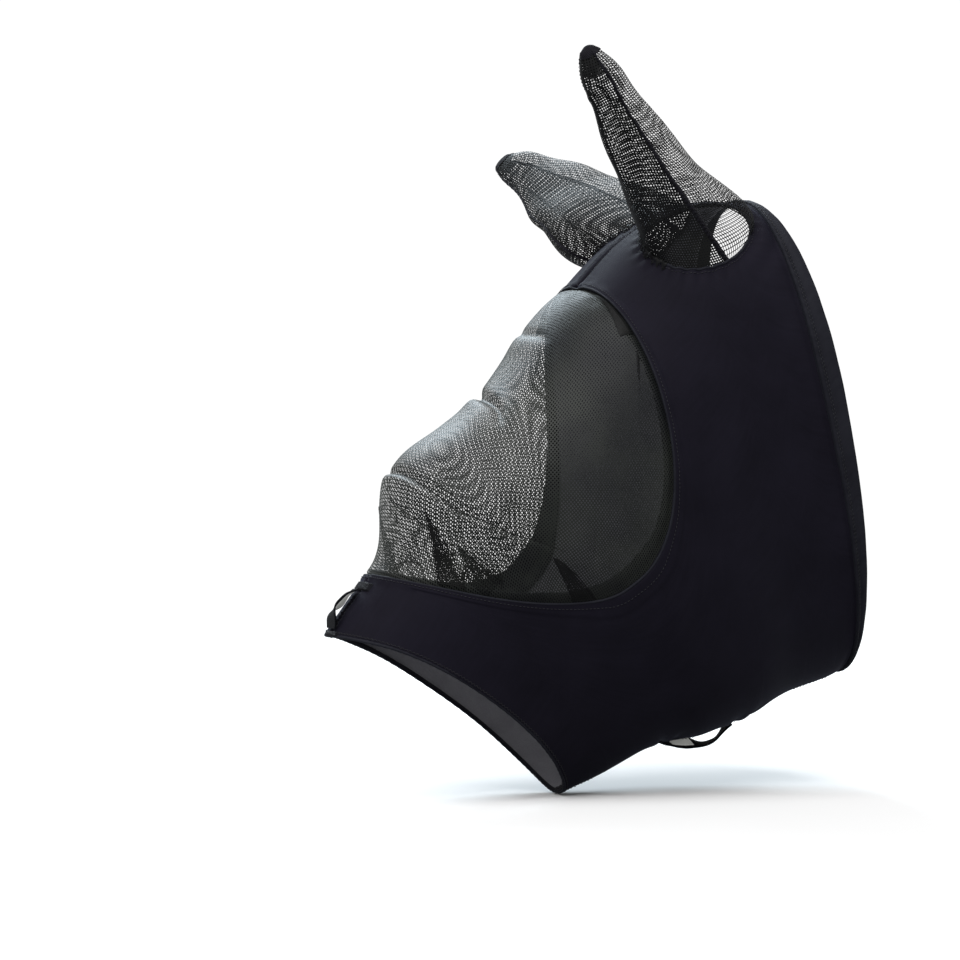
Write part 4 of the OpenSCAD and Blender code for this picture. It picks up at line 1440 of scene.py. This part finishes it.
LOOP_RISE = {"nose": 3.8, "jaw": 9.0}
LOOP_PEAK = {"nose": 0.27, "jaw": 0.32}  # share of the length where a loop stands out most
LOOP_ROLLS = {  # twists of the ribbon: share of the length, degrees, reach
    "nose": ((0.60, 31, 0.34),),
    "jaw": ((0.70, 38, 0.20), (0.15, -20, 0.14)),
}
STRIP_SPAN = {"nose": (0.36, 0.90), "jaw": (0.58, 0.88)}  # the light face, share of the length
NOSE_OUTLINE = 0.42  # the nose loop's edge stands out by this share of its half width
LOOP_WIDTH = {"nose": 22, "jaw": 16}
LOOP_THICKNESS = 1.4
STRIP_THICKNESS = 0.4
LOOP_STATIONS = {"nose": (0.17, 0.84), "jaw": (3.75, 2.20)}  # where a loop leaves the hood
LOOP_ANGLE = {"nose": 0.0, "jaw": 180.0}
LOOP_OFF = {"nose": FABRIC + 1.0, "jaw": FABRIC + 2.5}
# station and half length of each sewn end, and the ends' half width in degrees
TACKS = {"nose": ((0.065, 0.055), (0.905, 0.05)), "jaw": ((3.86, 0.07), (2.09, 0.07))}
TACK_HALF = {"nose": 9.0, "jaw": 6.0}


def loop_places(kind):
    """Ends of a loop on the hood, and the directions along it, across it and outward."""
    angle = LOOP_ANGLE[kind]
    ends = [hood_point(s, angle, LOOP_OFF[kind]) for s in LOOP_STATIONS[kind]]
    along = unit(ends[1] - ends[0])
    across = np.array([0.0, 1.0, 0.0])
    out = unit(np.cross(along, across))
    probe = hood_point(np.mean(LOOP_STATIONS[kind]), angle, 10.0)
    if (probe - ends[0]) @ out < 0:
        across = -across
        out = -out
    return ends, along, across, out


def loop_arch(share, peak):
    """Height along a loop, 0 to 1: nearly straight from each end to a soft corner at the peak."""
    rise = np.clip(share / peak, 1e-3, None)
    fall = np.clip((1 - share) / (1 - peak), 1e-3, None)
    return (rise**-4 + fall**-4) ** -0.25 * 2**0.25


def ribbon_grid(kind, length, low, width_share, from_x, to_x, rows=110, cols=21):
    """A stretch of a loop's ribbon as (along, across, out) in mm; low moves it off the ribbon's face."""
    x = np.linspace(from_x, to_x, rows)[:, None]
    v = np.linspace(-1, 1, cols)[None]
    share = x / length
    arch = loop_arch(share, LOOP_PEAK[kind])
    height = LOOP_RISE[kind] * arch
    wave = 0.5 * np.sin(x * 0.31 + v * 0.8) * arch + 0.35 * v**2 * arch
    roll = sum(math.radians(turn) * bump(share - at, reach) for at, turn, reach in LOOP_ROLLS[kind])
    full = np.minimum(LOOP_WIDTH[kind] / 2, 8.0 + height)
    lean = np.sin(np.abs(roll))
    if kind == "nose":
        edge = np.sqrt((NOSE_OUTLINE * np.cos(roll) - np.sin(roll)) ** 2 + 0.02)
        half = np.minimum(full, (height + NOSE_OUTLINE * full + 1.0) / (lean + edge))
        lift = NOSE_OUTLINE * full - half * edge
    else:
        half = np.minimum(full, (height + 1.8) / np.maximum(1.3 * lean, 0.05))
        lift = -0.3 * half * np.sin(roll)
    across = v * half * width_share * np.cos(roll) + low * np.sin(roll)
    out = height + lift + wave * 0.6 - v * half * width_share * np.sin(roll) + low * np.cos(roll)
    return x + 0 * v, across, out


def loop_sheet(name, places, grid, material, thickness):
    """A ribbon with soft edges that bends near its sewn ends. The thickness is in mm."""
    ends, along, across, out = places
    x, y, z = grid
    points = ends[0] + (along * x[..., None] + across * y[..., None] + out * z[..., None]) * MM
    obj = sheet(name, points, material)
    solid = obj.modifiers.new("cloth thickness", "SOLIDIFY")
    solid.thickness = thickness * MM
    solid.offset = -1
    bevel = obj.modifiers.new("soft edge", "BEVEL")
    bevel.width = thickness * MM * 0.3
    bevel.segments = 2
    bevel.limit_method = "ANGLE"
    bevel.angle_limit = math.radians(60)
    in_slot(obj, name)
    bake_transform(obj)


def tack_patch(kind, centre, half):
    """A loop's turned-under end, flat on the hood, as a padded patch."""
    u = np.linspace(-1, 1, 23)[:, None]
    v = np.linspace(-1, 1, 23)[None]
    crown = (1 - u**8) * (1 - v**8)
    off = FABRIC - 0.6 + 1.7 * crown**0.5 + 0.12 * np.sin(u * 30) * crown
    points = hood_point(centre + u * half + 0 * v, LOOP_ANGLE[kind] + v * TACK_HALF[kind] + 0 * u, off)
    return points.reshape(-1, 3), grid_faces(23, 23)


def bartack(kind, centre, half):
    """Both ends of each thread over a sewn end: nine bars across it, and a cross."""
    angle = LOOP_ANGLE[kind]
    wide = TACK_HALF[kind] * np.array([-0.8, 0.8])
    threads = [hood_point(centre + k * half, angle + wide, FABRIC + 1.25) for k in np.linspace(-0.8, 0.8, 9)]
    s = np.array([centre - half * 0.7, centre + half * 0.7])
    return threads + [hood_point(s, angle + sign * wide, FABRIC + 1.35) for sign in (-1, 1)]


def pull_loop(kind):
    """A webbing loop, the light strip on its inner face, and its two sewn ends."""
    places = loop_places(kind)
    ends, _, _, out = places
    length = np.linalg.norm(ends[1] - ends[0]) / MM
    grid = ribbon_grid(kind, length, LOOP_THICKNESS, 1.0, 0.0, length)
    loop_sheet(f"{kind}_pull_loop", places, grid, WEBBING, LOOP_THICKNESS)
    first, last = STRIP_SPAN[kind]
    grid = ribbon_grid(kind, length, -0.12, 0.70, length * first, length * last, 90, 15)
    loop_sheet(f"{kind}_loop_silver_strip", places, grid, SILVER, STRIP_THICKNESS)
    points, faces = merge([tack_patch(kind, *tack) for tack in TACKS[kind]])
    name = f"{kind}_loop_stitched_ends"
    obj = new_mesh(name, points, faces, WEBBING)
    add_uv(obj, points[:, [0, 1]])
    on_hood(obj, name)
    threads = np.concatenate([bartack(kind, *tack) for tack in TACKS[kind]])
    outs = np.broadcast_to(out, threads[:, 0].shape)
    row = thread_bars(threads[:, 0], threads[:, 1], outs, 0.28 * MM, 0.4 * MM)
    sewn(f"{kind}_loop_bartacks", [row], THREAD)


# ---- studio ----


def floor():
    """A wide floor just under the mask."""
    rows = np.linspace(-FLOOR_HALF, FLOOR_HALF, 30)
    x, y = np.meshgrid(rows, rows, indexing="ij")
    z = np.full_like(x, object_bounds()[0][2] - 0.0005)
    obj = new_mesh("studio_floor", np.stack([x, y, z], -1), grid_faces(30, 30), floor_material())
    obj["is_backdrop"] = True


def aim(data, direction, location=(0, 0, 0)):
    """Adds a light or the camera to the scene, looking along a direction."""
    obj = bpy.data.objects.new(data.name, data)
    obj.location = location
    obj.rotation_mode = "QUATERNION"
    obj.rotation_quaternion = Vector(direction).to_track_quat("-Z", "Y")
    bpy.context.scene.collection.objects.link(obj)
    return obj


FLOOR_HALF = 14.0
WORLD_LIGHT = 0.42
BACKDROP = 1.05
SUN_POWER = 3.0
SUN_FROM = (-0.55, -0.62, 1.25)
SUN_SOFTNESS = 60
RIM_POWER = 30
RIM_COLOUR = (0.80, 0.92, 1.0)
RIM_PLACE = (-0.1, 1.3, 1.15)


def backdrop():
    """White to the camera, and a weaker soft light from all round on the object."""
    world = bpy.data.worlds.new("studio")
    bpy.context.scene.world = world
    world.use_nodes = True
    tree = world.node_tree
    back = next(n for n in tree.nodes if n.type == "BACKGROUND")
    back.inputs["Color"].default_value = (1, 1, 1, 1)
    path = tree.nodes.new("ShaderNodeLightPath")
    strength = tree.nodes.new("ShaderNodeMapRange")
    strength.inputs["To Min"].default_value = WORLD_LIGHT
    strength.inputs["To Max"].default_value = BACKDROP
    tree.links.new(path.outputs["Is Camera Ray"], strength.inputs["Value"])
    tree.links.new(strength.outputs["Result"], back.inputs["Strength"])


def sun():
    """The main light, high on the left and in front, and very soft."""
    data = bpy.data.lights.new("soft_sun", "SUN")
    data.energy = SUN_POWER
    data.angle = math.radians(SUN_SOFTNESS)
    aim(data, -np.array(SUN_FROM))


def rim_light():
    """A cool light from behind and above, that draws the far edges."""
    data = bpy.data.lights.new("rim", "AREA")
    data.shape = "DISK"
    data.size = 1.0
    data.energy = RIM_POWER
    data.color = RIM_COLOUR
    middle = 0.5 * (np.array(CAD_LOW) + np.array(CAD_HIGH))
    aim(data, middle - RIM_PLACE, RIM_PLACE).visible_camera = False


CAMERA_AZIMUTH = -25
CAMERA_ELEVATION = 1
CAMERA_DISTANCE = 3.2
CAMERA_LENS = 160
CAMERA_AIM = (-0.090, -0.046)  # metres right and up from the target, so that it sits right of the middle
CAMERA_TARGET = (-0.158, 0.0, 0.015)


def camera():
    """The photo's view: from the mask's left and a little in front."""
    a = math.radians(CAMERA_AZIMUTH)
    e = math.radians(CAMERA_ELEVATION)
    back = np.array([math.sin(a) * math.cos(e), -math.cos(a) * math.cos(e), math.sin(e)])
    data = bpy.data.cameras.new("camera")
    data.lens = CAMERA_LENS
    data.sensor_width = 36
    place = np.array(CAMERA_TARGET) + back * CAMERA_DISTANCE
    right = unit(np.cross(-back, [0.0, 0.0, 1.0]))
    up = np.cross(right, -back)
    target = np.array(CAMERA_TARGET) + right * CAMERA_AIM[0] + up * CAMERA_AIM[1]
    bpy.context.scene.camera = aim(data, target - place, place)


# ---- build ----

hood_panel("left_hood_panel", 1)
hood_panel("right_hood_panel", -1)
inner_tape("crown_seam_tape", 4.10, 6.86, 0, 2.6, 201)
inner_tape("nose_seam_tape", 0.13, 1.00, 0, 2.8, 203)
inner_tape("jaw_seam_tape", 0.13, 6.86, 180, 3.6, 205)
tape_stitches("crown_seam_stitching", 4.12, 6.84, 0, 2.6)
tape_stitches("nose_seam_stitching", 0.15, 1.00, 0, 2.8)
tape_stitches("jaw_seam_stitching", 0.15, 6.84, 180, 3.6)
nose_edge()
neck_hem()
eye_net()
darts()
corner_tabs()
fold_edges_and_crease_shade()
screen_edge()
for ear_side in (-1, 1):
    ear_panel(ear_side, "front")
    ear_panel(ear_side, "back")
    ear_seam_tapes(ear_side)
    ear_tip_patch(ear_side)
    ear_base(ear_side)
    ear_gathers(ear_side)
pull_loop("nose")
pull_loop("jaw")

floor()
backdrop()
sun()
rim_light()
camera()
view = bpy.context.scene.view_settings
view.view_transform = "Standard"
view.look = "None"
